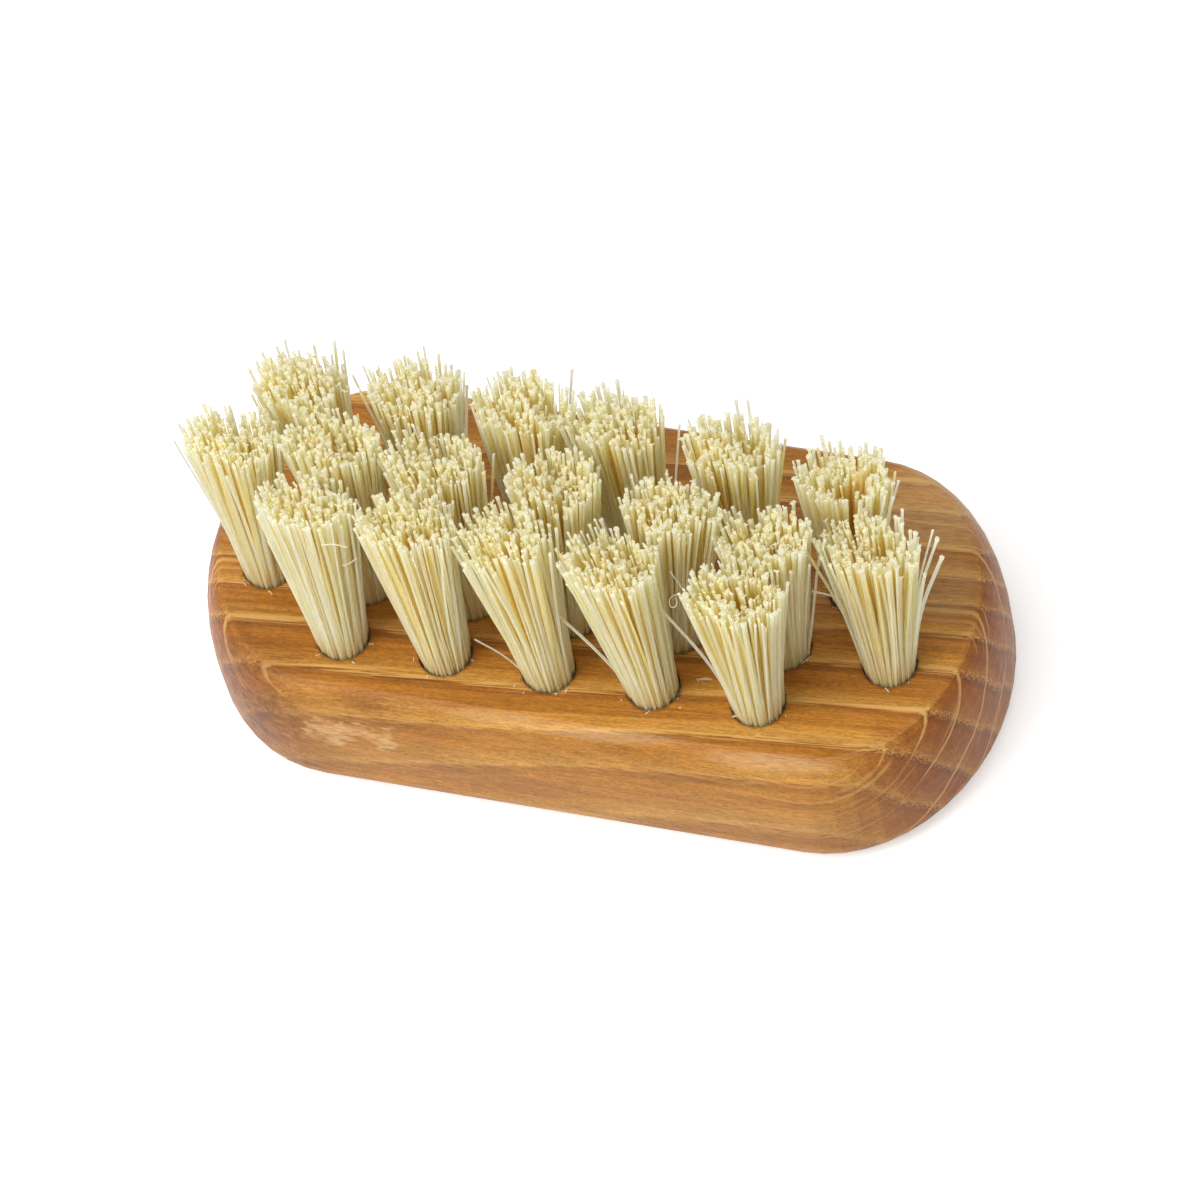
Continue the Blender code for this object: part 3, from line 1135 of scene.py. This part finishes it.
@dataclass(frozen=True)
class StrayFibre:
    """A fibre that stands away from its tuft.

    Its path runs from root to tip, in millimetres from the mouth of the bore. One that starts at the
    mouth goes on down into the bore.
    """

    tuft: str
    path_mm: tuple[tuple[float, float, float], ...]
    radius_mm: float = 0.18
    head: float = 1.2
    rooted_mm: float = 3.0
    root_share: float = 0.9
    tone: Span = (0.2, 0.5)
    flatness: float = 0.75

    def shape(self, chance: random.Random) -> Strand:
        """Shape the fibre.

        Args:
            chance: The tuft's source of random numbers.

        Returns:
            Its strand, from root to tip.
        """
        path = rounded([Vector(point) * MM for point in self.path_mm])
        if path[0].z == 0.0:
            root = (path[0].x * self.root_share, path[0].y * self.root_share, -self.rooted_mm * MM)
            path.insert(0, Vector(root))
        top = max(path[-1].z, path[0].z)
        radius = self.radius_mm * MM
        return Strand(
            path=path,
            radii=[radius] * (len(path) - 1) + [radius * self.head],
            grow=[max(point.z, 0.0) / top for point in path],
            tone=chance.uniform(*self.tone),
            flatness=self.flatness,
            turn=chance.uniform(0, math.pi),
        )


# The loose fibres that the photograph shows.
STRAYS = (
    StrayFibre("front_1", ((-2.6, -1.5, 0.0), (-3.1, -1.6, 10.0), (-5.2, 0.7, 25.0)), 0.16),
    StrayFibre("front_1", ((-2.7, -1.2, 0.0), (-3.6, -1.4, 11.0), (-4.9, -0.9, 20.0)), 0.17),
    StrayFibre("front_1", ((2.85, -2.9, 24.3), (4.2, -2.6, 24.5), (5.8, -2.7, 24.4)), 0.10),
    StrayFibre("front_1", ((4.0, -1.9, 18.9), (4.8, -1.5, 19.0), (5.5, -0.9, 19.4)), 0.10),
    StrayFibre("front_3", ((-2.5, -1.0, 0.0), (-4.9, -0.4, 2.4), (-7.9, -0.5, 5.0)), 0.14),
    StrayFibre("front_4", ((-2.6, -0.6, 0.0), (-4.9, -0.9, 7.0), (-10.4, 0.1, 14.0)), 0.20),
    StrayFibre("front_5", ((-2.6, -0.6, 0.0), (-4.4, -0.6, 8.5), (-8.9, 0.0, 17.0)), 0.20),
    StrayFibre("front_5", ((-2.5, -1.0, 0.0), (-3.6, -0.4, 10.0), (-6.4, 0.2, 20.4)), 0.19),
    StrayFibre("front_5", ((-4.6, 1.0, 13.0), (-6.4, 1.6, 19.0), (-7.8, 2.1, 22.0)), 0.10),
    StrayFibre(
        "front_5",
        (
            (-4.4, 0.4, 18.0), (-6.2, 0.9, 19.4), (-7.4, 1.0, 19.2), (-7.9, 0.2, 19.0),
            (-7.3, -0.8, 18.9), (-6.7, -0.2, 19.1), (-7.2, 0.5, 19.3),
        ),
        0.07,
    ),
    StrayFibre("middle_1", ((-2.7, 0.7, 0.0), (-4.6, 1.0, 12.0), (-6.5, 1.7, 25.0)), 0.20),
    StrayFibre("middle_1", ((-2.6, 0.0, 0.0), (-5.0, 0.2, 12.0), (-7.2, 0.6, 23.4)), 0.16),
    StrayFibre("middle_6", ((2.9, -0.4, 0.0), (4.5, 0.2, 9.0), (6.2, 0.5, 19.0), (7.7, 0.2, 24.0)), 0.20),
    StrayFibre("middle_7", ((2.4, 1.2, 0.0), (2.9, 2.4, 11.5), (4.7, 3.5, 23.0)), 0.24, 1.6),
    StrayFibre("middle_7", ((2.5, 1.0, 0.0), (3.6, 2.6, 11.5), (6.5, 4.2, 23.0)), 0.14),
    StrayFibre("middle_7", ((2.6, 0.8, 0.0), (3.7, 2.3, 11.0), (7.0, 3.8, 22.0)), 0.22, 1.7),
    StrayFibre("middle_7", ((2.7, 0.4, 0.0), (4.2, 1.6, 10.0), (7.6, 2.8, 20.0)), 0.23, 1.4),
    StrayFibre("middle_7", ((2.2, 1.6, 0.0), (1.8, 3.8, 11.7), (2.6, 6.0, 23.4)), 0.18),
    StrayFibre("middle_7", ((-3.5, -0.3, 12.0), (-5.3, -0.1, 13.1), (-7.5, 0.1, 12.9)), 0.12),
    StrayFibre("back_1", ((1.9, 1.8, 0.0), (2.8, 3.3, 13.0), (3.6, 5.0, 26.5)), 0.14),
    StrayFibre("back_2", ((2.2, 1.6, 0.0), (3.2, 3.2, 13.0), (3.9, 5.4, 26.0)), 0.20, 1.4),
    StrayFibre("back_2", ((2.5, 1.2, 0.0), (3.9, 2.6, 12.0), (5.0, 4.5, 25.0)), 0.22, 1.3),
    StrayFibre("back_2", ((2.6, 0.8, 0.0), (4.2, 2.2, 12.0), (5.9, 4.0, 24.5)), 0.20, 1.3),
    StrayFibre("back_2", ((-2.5, 0.5, 0.0), (-4.6, 1.2, 13.0), (-6.9, 2.2, 26.0)), 0.14),
    StrayFibre("back_2", ((-2.3, 1.1, 0.0), (-4.0, 2.0, 13.0), (-5.9, 3.3, 26.5)), 0.16),
    StrayFibre("back_3", ((-2.5, 0.8, 0.0), (-3.9, 1.8, 12.0), (-5.3, 3.0, 25.0)), 0.20, 1.3),
    StrayFibre("back_3", ((2.0, 1.7, 0.0), (3.6, 3.8, 13.0), (5.6, 6.6, 27.0)), 0.18, 1.4),
    StrayFibre("back_3", ((2.3, 1.2, 0.0), (3.9, 2.9, 13.0), (5.3, 4.7, 26.0)), 0.20, 1.3),
    StrayFibre("back_5", ((0.4, 2.6, 0.0), (0.5, 4.2, 14.0), (0.4, 5.3, 27.8)), 0.18),
    StrayFibre("back_5", ((1.1, 2.4, 0.0), (1.5, 4.0, 14.0), (1.8, 5.4, 28.0)), 0.20),
    StrayFibre("back_6", ((2.5, 0.9, 0.0), (4.3, 0.9, 11.6), (7.4, 0.9, 23.2)), 0.16),
    StrayFibre("back_6", ((2.6, -0.4, 0.0), (4.3, -0.8, 11.4), (7.2, -1.1, 22.8)), 0.20, 1.4),
)


@dataclass(frozen=True)
class Clump:
    """A part of a bundle whose fibres lean and stop together."""

    spot: Vector
    lean: Vector
    drop: float
    reach: float

    def pull(self, spot: Vector) -> float:
        """Return how strongly the clump moves a fibre at a spot of the disc, 0 to 1."""
        return math.exp(-((spot - self.spot).length / self.reach) ** 2)


@dataclass(frozen=True)
class SplitEnd:
    """The two splinters of a fibre that split where it was cut."""

    depth_mm: float = 0.45
    rise_mm: Span = (-0.10, 0.22)
    aside_mm: Span = (0.16, 0.42)
    middle: float = 0.55
    bow_mm: float = 0.05
    radius_mm: Span = (0.07, 0.12)
    taper: tuple = (1.0, 1.0, 1.15)
    sides: int = 4

    def shape(self, below: Vector, tip: Vector, tone: float, chance: random.Random) -> list[Strand]:
        """Shape the two splinters.

        Args:
            below: A point of the fibre just below its tip.
            tip: Its tip.
            tone: Its number for colour.
            chance: The tuft's source of random numbers.

        Returns:
            The splinters.
        """
        heading = (tip - below).normalized()
        aside = heading.orthogonal().normalized()
        aside.rotate(Matrix.Rotation(chance.uniform(0, 2 * math.pi), 3, heading))
        start = tip - heading * self.depth_mm * MM
        made = []
        for side in (-1.0, 1.0):
            end = tip + heading * (chance.uniform(*self.rise_mm) * MM)
            end += aside * (side * chance.uniform(*self.aside_mm) * MM)
            middle = start.lerp(end, self.middle) - aside * (side * self.bow_mm * MM)
            radius = chance.uniform(*self.radius_mm) * MM
            radii = [radius * share for share in self.taper]
            made.append(Strand([start, middle, end], radii, [1.0] * len(radii), tone, sides=self.sides))
        return made


@dataclass
class FibreTuft:
    """One bundle of plant fibre, folded in two round its anchor and trimmed at the top.

    Each Span is the least and the most of a random choice. The lean and the bow are along X and Y.
    """

    bore: Bore
    material: bpy.types.Material
    chance: random.Random
    lean_mm: tuple = (0.0, 0.0)
    clumps: list[Clump] = field(default_factory=list)

    ends: int = 256
    turn_angle: float = math.pi * (3 - math.sqrt(5))
    packed_radius: float = 2.85 * MM
    half_width: float = 5.70 * MM
    half_depth: float = 4.05 * MM
    spread_power: float = 1.15
    bow_mm: tuple = (0.16, 0.14)
    free_steps: tuple = (0.0, 0.33, 0.66, 0.88)

    clump_count: int = 17
    clump_lean_mm: Span = (0.2, 0.95)
    clump_drop_mm: Span = (-0.5, 2.2)
    clump_reach: Span = (0.15, 0.30)
    deepest_drop: float = 2.2 * MM
    farthest_lean: float = 0.85 * MM

    uneven_mm: Span = (-0.75, 0.45)
    scatter_mm: float = 0.27
    loose_scatter_mm: float = 0.90
    loose_share: float = 0.11
    short_share: float = 0.06
    short_mm: Span = (0.8, 2.6)
    long_from: float = 0.975
    long_mm: Span = (0.3, 0.9)

    fibre_radius: float = 0.202 * MM
    thickness: Span = (0.66, 1.30)
    flatness: Span = (0.50, 1.0)
    flare: Span = (0.0, 0.55)
    flare_start: float = 0.75 * MM
    flare_middle: float = 0.4
    flare_middle_share: float = 0.35
    flare_rise: tuple = (0.97, 0.98, 1.0)
    # Where and how strongly the inner fibres get their golden painted shade.
    painted_shade_edge: float = 0.98
    painted_shade_depth: float = 0.24
    painted_shade_levels: tuple = (1.0, 1.0, 1.0, 0.85, 0.15, 0.05, 0.0)

    anchor_clearance: float = 0.42 * MM
    fold_narrowing: float = 0.96
    fold_least: float = 0.16
    fold_more: float = 0.78
    frayed_share: float = 0.24
    split_end: SplitEnd = SplitEnd()

    def build(self) -> bpy.types.Object:
        """Build the tuft and put it in its node's place.

        Returns:
            The tuft.
        """
        self.clumps = [self.make_clump() for _ in range(self.clump_count)]
        strands = []
        for near, far in self.root_pairs():
            strand = self.folded_fibre(near, far)
            strands.append(strand)
            for end in (strand.path[:2][::-1], strand.path[-2:]):
                if self.chance.random() < self.frayed_share:
                    strands += self.split_end.shape(*end, strand.tone, self.chance)
        strands += [stray.shape(self.chance) for stray in STRAYS if stray.tuft == self.bore.name]
        work = gather(strands)
        bmesh.ops.translate(work, verts=work.verts, vec=self.bore.mouth)
        tuft = finish_object(f"fibre_{self.bore.name}", work, self.material)
        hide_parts(f"tuft_{self.bore.name}")
        return tuft

    def make_clump(self) -> Clump:
        """Choose a clump anywhere in the bundle.

        Returns:
            The clump.
        """
        chance = self.chance
        heading = chance.uniform(0, 2 * math.pi)
        lean = chance.uniform(0, 2 * math.pi)
        return Clump(
            spot=way_at(heading).to_2d() * math.sqrt(chance.random()),
            lean=way_at(lean).to_2d() * (chance.uniform(*self.clump_lean_mm) * MM),
            drop=chance.uniform(*self.clump_drop_mm) * MM,
            reach=chance.uniform(*self.clump_reach),
        )

    def root_pairs(self) -> list[tuple[Vector, Vector]]:
        """Spread the fibre ends evenly in a disc of radius 1 and pair them across the anchor.

        Returns:
            Both ends of each fibre, the near one with its y above 0.
        """
        start = self.chance.uniform(0, 2 * math.pi)
        pairs = []
        for number in range(self.ends):
            reach = math.sqrt((number + 0.5) / self.ends)
            spot = way_at(start + number * self.turn_angle).to_2d() * reach
            if spot.y > 0:
                pairs.append((spot, Vector((spot.x, -spot.y))))
        return pairs

    def tip_of(self, spot: Vector) -> Vector:
        """Choose where the fibre that stands at a spot of the disc ends.

        Args:
            spot: The spot, in a disc of radius 1.

        Returns:
            The tip, from the mouth of the bore.
        """
        chance = self.chance
        shift = Vector((0.0, 0.0))
        height = self.bore.tip_height + chance.uniform(*self.uneven_mm) * MM
        drop = 0.0
        for clump in self.clumps:
            pull = clump.pull(spot)
            shift += clump.lean * pull
            drop += clump.drop * pull
        height -= min(drop, self.deepest_drop)
        if shift.length > self.farthest_lean:
            shift *= self.farthest_lean / shift.length
        scatter = self.loose_scatter_mm if chance.random() < self.loose_share else self.scatter_mm
        x = self.lean_mm[0] * MM + spot.x * self.half_width + shift.x + chance.gauss(0, scatter) * MM
        y = self.lean_mm[1] * MM + spot.y * self.half_depth + shift.y + chance.gauss(0, scatter) * MM
        luck = chance.random()
        if luck < self.short_share:
            height -= chance.uniform(*self.short_mm) * MM
        elif luck > self.long_from:
            height += chance.uniform(*self.long_mm) * MM
        return Vector((x, y, height))

    def free_part(self, spot: Vector) -> list[Vector]:
        """Shape the free part of one end of a fibre.

        Args:
            spot: Where it stands, in a disc of radius 1.

        Returns:
            Its points, from the mouth of the bore to its tip.
        """
        chance = self.chance
        root = Vector((spot.x * self.packed_radius, spot.y * self.packed_radius, 0.0))
        tip = self.tip_of(spot)
        bow = Vector((chance.gauss(0, self.bow_mm[0]), chance.gauss(0, self.bow_mm[1]), 0.0)) * MM
        points = []
        for step in self.free_steps:
            point = root.lerp(tip, step ** self.spread_power)
            point.z = tip.z * step
            point += bow * math.sin(math.pi * step)
            points.append(point)
        back = (points[-1] - tip).normalized() * self.flare_start
        return [*points, tip + back, tip + back * self.flare_middle, tip]

    def folded_fibre(self, near: Vector, far: Vector) -> Strand:
        """Shape one whole fibre: down from a tip, under the anchor and up to its other tip.

        Args:
            near: Where its first end stands, in a disc of radius 1.
            far: Where its other end stands.

        Returns:
            Its strand.
        """
        chance = self.chance
        up = self.free_part(far)
        down = self.free_part(near)[::-1]
        depth = self.bore.anchor_bottom
        side = max(near.y * self.packed_radius, self.anchor_clearance)
        x = near.x * self.packed_radius * self.fold_narrowing
        bottom = depth + (self.bore.fold_bottom - depth) * (self.fold_least + self.fold_more * near.y)
        fold = [Vector((x, side, depth)), Vector((x, 0.0, bottom)), Vector((x, -side, depth))]
        radius = self.fibre_radius * chance.uniform(*self.thickness)
        flares = [chance.uniform(*self.flare) for _ in range(2)]
        first, last = ([1.0 + flare, 1.0 + self.flare_middle_share * flare] for flare in flares)
        shank = [1.0] * (2 * (len(up) - 2) + len(fold))
        rise = [*self.free_steps, *self.flare_rise]
        inner = min(max((self.painted_shade_edge - near.length) / self.painted_shade_depth, 0.0), 1.0)
        painted_shade = [level * inner for level in self.painted_shade_levels]
        return Strand(
            path=down + fold + up,
            radii=[radius * size for size in (*first, *shank, *last[::-1])],
            grow=rise[::-1] + [0.0] * len(fold) + rise,
            tone=chance.random(),
            painted_shade=painted_shade[::-1] + [1.0] * len(fold) + painted_shade,
            flatness=chance.uniform(*self.flatness),
            turn=chance.uniform(0, math.pi),
        )


# How far the head of each tuft leans along X and Y, as in the photograph.
LEANS_MM = {
    "front_1": (0.1, 0.8),
    "front_2": (-0.2, 0.0),
    "front_3": (-1.4, 0.2),
    "front_4": (-1.3, -0.1),
    "front_5": (0.7, -1.1),
    "middle_1": (0.7, 0.1),
    "middle_2": (-0.4, 1.6),
    "middle_3": (-0.5, 0.7),
    "middle_4": (1.2, 0.8),
    "middle_5": (2.6, 0.4),
    "middle_6": (0.8, -0.8),
    "middle_7": (-0.2, 1.1),
    "back_1": (-0.3, 0.1),
    "back_2": (0.8, 1.2),
    "back_3": (1.3, 1.1),
    "back_4": (0.0, 1.2),
    "back_5": (0.5, 1.2),
    "back_6": (1.3, 0.7),
}


@dataclass
class RimFuzz:
    """Torn wood fibre that stands round the mouth of each bore, left by the drill.

    Each Span is the least and the most of a random choice.
    """

    bores: list[Bore]
    material: bpy.types.Material
    chance: random.Random
    slivers: int = 34
    rim_radius: float = 3.13 * MM
    off_rim_mm: Span = (0.0, 0.10)
    sunk: float = 0.08 * MM
    outward_mm: Span = (-0.18, 0.22)
    aside_mm: Span = (-0.4, 0.4)
    rise_mm: Span = (0.15, 0.42)
    bow_mm: Span = (-0.08, 0.08)
    radius_mm: Span = (0.03, 0.065)
    taper: tuple = (1.0, 0.8, 0.3)
    grow: tuple = (0.0, 0.5, 1.0)
    sides: int = 4

    def build(self) -> bpy.types.Object:
        """Build the slivers of every rim as one piece.

        Returns:
            The piece.
        """
        slivers = [self.sliver(bore) for bore in self.bores for _ in range(self.slivers)]
        return finish_object("bore_rim_fuzz", gather(slivers), self.material)

    def sliver(self, bore: Bore) -> Strand:
        """Shape one sliver at a rim.

        Args:
            bore: The bore.

        Returns:
            The sliver's strand.
        """
        chance = self.chance
        outward = way_at(chance.uniform(0, 2 * math.pi))
        aside = Vector((-outward.y, outward.x, 0.0))
        start = bore.mouth + outward * (self.rim_radius + chance.uniform(*self.off_rim_mm) * MM)
        start.z -= self.sunk
        lean = outward * chance.uniform(*self.outward_mm) + aside * chance.uniform(*self.aside_mm)
        end = start + lean * MM + Vector((0.0, 0.0, chance.uniform(*self.rise_mm) * MM))
        middle = start.lerp(end, 0.5) + aside * chance.uniform(*self.bow_mm) * MM
        radius = chance.uniform(*self.radius_mm) * MM
        return Strand(
            path=[start, middle, end],
            radii=[radius * share for share in self.taper],
            grow=list(self.grow),
            tone=chance.random(),
            sides=self.sides,
        )


@dataclass(frozen=True)
class Fleck:
    """A cut end of fibre that lies where the photograph shows one."""

    x_mm: float
    y_mm: float
    length_mm: float
    heading: float = 0.0
    lift_mm: float = 0.0
    thickest_mm: float = 0.13
    stoutness: float = 0.4
    rest: float = 0.7
    bend: float = 0.12
    taper: tuple = (0.8, 1.0, 0.6)
    tone: float = 0.3
    flatness: float = 0.6

    def shape(self, surface: float) -> Strand:
        """Shape the fleck.

        Args:
            surface: The height of the bristle face.

        Returns:
            Its strand, lying on the wood.
        """
        radius = min(self.thickest_mm * MM, self.length_mm * self.stoutness * MM)
        height = surface + radius * self.rest + self.lift_mm * MM
        half = way_at(self.heading) * (self.length_mm * 0.5 * MM)
        return Strand(
            path=bent(Vector((self.x_mm * MM, self.y_mm * MM, height)), half, self.bend),
            radii=[radius * share for share in self.taper],
            grow=[1.0] * len(self.taper),
            tone=self.tone,
            flatness=self.flatness,
        )


# The cut ends that the photograph shows.
FLECKS = (
    Fleck(21.5, -16.0, 1.4, math.radians(22.0), 0.30),
    Fleck(16.5, -11.8, 1.5, math.radians(10.0)),
    Fleck(27.0, -7.5, 0.9, math.radians(46.0)),
    Fleck(27.3, -7.0, 1.0, math.radians(52.0)),
    Fleck(0.1, -16.8, 0.3, math.radians(30.0)),
    Fleck(-4.9, -16.6, 0.3, math.radians(75.0)),
    Fleck(7.7, -16.2, 0.25, math.radians(120.0)),
    Fleck(14.6, -16.0, 0.3, math.radians(15.0)),
    Fleck(25.8, -15.4, 0.25, math.radians(60.0)),
    Fleck(15.6, -12.0, 0.3, math.radians(140.0)),
    Fleck(39.3, -8.0, 0.25, math.radians(95.0)),
)


@dataclass
class TrimmingCrumbs:
    """Short cut ends of fibre that trimming leaves lying on the wood.

    Each Span is the least and the most of a random choice.
    """

    bores: list[Bore]
    material: bpy.types.Material
    chance: random.Random
    crumbs_each: int = 3
    nearest_mm: float = 3.25
    scatter_mm: float = 0.45
    radius_mm: Span = (0.04, 0.11)
    rest: float = 0.9
    half_length_mm: Span = (0.08, 0.38)
    bend: Span = (-0.3, 0.3)
    taper: tuple = (1.0, 1.0, 0.8)
    tone: Span = (0.2, 0.6)
    sides: int = 4

    def build(self) -> bpy.types.Object:
        """Build all the crumbs as one piece.

        Returns:
            The piece.
        """
        crumbs = [self.crumb(bore) for bore in self.bores for _ in range(self.crumbs_each)]
        crumbs += [fleck.shape(self.bores[0].mouth.z) for fleck in FLECKS]
        return finish_object("fibre_crumbs", gather(crumbs), self.material)

    def crumb(self, bore: Bore) -> Strand:
        """Shape one crumb that lies near a bore.

        Args:
            bore: The bore.

        Returns:
            The crumb's strand.
        """
        chance = self.chance
        heading = chance.uniform(0, 2 * math.pi)
        reach = (self.nearest_mm + abs(chance.gauss(0, self.scatter_mm))) * MM
        centre = bore.mouth + way_at(heading) * reach
        radius = chance.uniform(*self.radius_mm) * MM
        centre.z += radius * self.rest
        half = way_at(chance.uniform(0, 2 * math.pi)) * (chance.uniform(*self.half_length_mm) * MM)
        return Strand(
            path=bent(centre, half, chance.uniform(*self.bend)),
            radii=[radius * share for share in self.taper],
            grow=[1.0] * len(self.taper),
            tone=chance.uniform(*self.tone),
            sides=self.sides,
        )


@dataclass
class NailBrush:
    """The whole brush: dressed block and anchors, and the pieces that stand for the tufts."""

    seed: int = 40
    bores: list[Bore] = field(default_factory=read_bores)

    def build(self) -> None:
        """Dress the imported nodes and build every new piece."""
        wood = OiledHardwood(tuple(bore.mouth for bore in self.bores)).build()
        fibre = PlantFibre().build()
        wire = ZincWire().build()
        chance = random.Random(self.seed)
        self.dress("wood_block", wood)
        for bore in self.bores:
            self.dress(f"anchor_{bore.name}", wire)
            tuft = FibreTuft(bore, fibre, random.Random(chance.random()), LEANS_MM[bore.name])
            self.report(tuft.build())
        self.report(RimFuzz(self.bores, wood, chance).build())
        self.report(TrimmingCrumbs(self.bores, fibre, chance).build())

    def dress(self, name: str, material: bpy.types.Material) -> None:
        """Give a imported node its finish.

        Args:
            name: The node's name.
            material: The finish.
        """
        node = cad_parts[name]
        node.data.materials.clear()
        node.data.materials.append(material)
        LOG.info("%s: dressed in %s", name, material.name)

    def report(self, piece: bpy.types.Object) -> None:
        """Log a new piece and its number of faces."""
        LOG.info("%s: %d faces", piece.name, len(piece.data.polygons))


@dataclass(frozen=True)
class ProductView:
    """The photograph's view: a long lens, high and to the right, tilted so that the block runs down."""

    azimuth: float = math.radians(28.37)
    elevation: float = math.radians(55.93)
    roll: float = math.radians(-15.14)
    aside: float = 2.07 * MM
    above: float = -6.50 * MM
    distance: float = 827.4 * MM
    lens_mm: float = 212.96
    sensor_mm: float = 36.0
    clip_start: float = 0.01
    clip_end: float = 20.0

    def build(self) -> None:
        """Make the camera and give it to the scene."""
        level = way_at(self.azimuth)
        ahead = Vector((
            -math.sin(self.azimuth) * math.cos(self.elevation),
            math.cos(self.azimuth) * math.cos(self.elevation),
            -math.sin(self.elevation),
        ))
        upright = level.cross(ahead)
        right = level * math.cos(self.roll) + upright * math.sin(self.roll)
        up = upright * math.cos(self.roll) - level * math.sin(self.roll)
        place = -(right * self.aside + up * self.above + ahead * self.distance)
        matrix = Matrix.Identity(4)
        for number, column in enumerate((right, up, -ahead, place)):
            matrix.col[number][:3] = column
        data = bpy.data.cameras.new("product_view")
        data.sensor_fit = "HORIZONTAL"
        data.sensor_width = self.sensor_mm
        data.lens = self.lens_mm
        data.clip_start = self.clip_start
        data.clip_end = self.clip_end
        camera = bpy.data.objects.new("product_view", data)
        camera.matrix_world = matrix
        bpy.context.scene.collection.objects.link(camera)
        bpy.context.scene.camera = camera
        LOG.info("%s: %.1f mm lens", camera.name, self.lens_mm)


@dataclass(frozen=True)
class SoftLamp:
    """A square softbox that faces the brush."""

    name: str
    direction: tuple
    distance: float
    size: float
    power: float

    def build(self) -> None:
        """Make the lamp."""
        data = bpy.data.lights.new(self.name, "AREA")
        data.shape = "SQUARE"
        data.size = self.size
        data.energy = self.power
        lamp = bpy.data.objects.new(self.name, data)
        heading = Vector(self.direction).normalized()
        lamp.location = heading * self.distance
        lamp.rotation_mode = "QUATERNION"
        lamp.rotation_quaternion = heading.to_track_quat("Z", "Y")
        bpy.context.scene.collection.objects.link(lamp)
        LOG.info("%s: %.1f W", self.name, self.power)


@dataclass(frozen=True)
class Studio:
    """Pale floor, white surroundings and soft lamps.

    The floor lies a hair under the block, so that the two don't fight for the same place.
    """

    floor_size: float = 6.0
    floor_gap: float = 0.05 * MM
    room_light: float = 0.62
    seen_light: float = 1.0
    light_turns: int = 40
    lamps: tuple[SoftLamp, ...] = (
        SoftLamp("window", (-0.58, -0.62, 0.80), 0.9, 0.55, 4.8),
        SoftLamp("overhead", (-0.05, -0.25, 1.0), 1.0, 0.7, 4.1),
    )

    def build(self) -> None:
        """Make the floor, the world and the lamps."""
        self.build_floor()
        self.build_world()
        self.let_light_through()
        for lamp in self.lamps:
            lamp.build()

    def build_floor(self) -> None:
        """Lay the floor, which is stage and no part of the brush."""
        work = bmesh.new()
        under = Matrix.Translation((0.0, 0.0, -self.floor_gap))
        bmesh.ops.create_grid(work, x_segments=1, y_segments=1, size=self.floor_size / 2, matrix=under)
        mesh = bpy.data.meshes.new("studio_floor")
        work.to_mesh(mesh)
        work.free()
        mesh.materials.append(PaleFloor().build())
        floor = bpy.data.objects.new("studio_floor", mesh)
        bpy.context.scene.collection.objects.link(floor)
        LOG.info("%s: %.1f m wide", floor.name, self.floor_size)

    def build_world(self) -> None:
        """Light the scene evenly, with pure white for the camera and in reflections."""
        wiring = Wiring("studio", "worlds")
        seen = wiring.background_seen()
        strength = wiring.between(seen, 0.0, 1.0, self.room_light, self.seen_light)
        background = wiring.shader("ShaderNodeBackground", Strength=strength)
        output = wiring.node("ShaderNodeOutputWorld")
        wiring.feed(output.inputs["Surface"], background)
        bpy.context.scene.world = wiring.owner

    def let_light_through(self) -> None:
        """Follow light for as many turns as it takes in a bundle of pale fibre."""
        paths = bpy.context.scene.cycles
        paths.max_bounces = self.light_turns
        paths.diffuse_bounces = self.light_turns
        paths.transmission_bounces = self.light_turns


def main() -> None:
    """Build the dressed brush and its studio."""
    logging.basicConfig(level=logging.INFO, format="%(message)s")
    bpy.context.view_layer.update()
    NailBrush().build()
    Studio().build()
    ProductView().build()
    bpy.context.scene.view_settings.view_transform = "Standard"


if __name__ == "__main__":
    main()
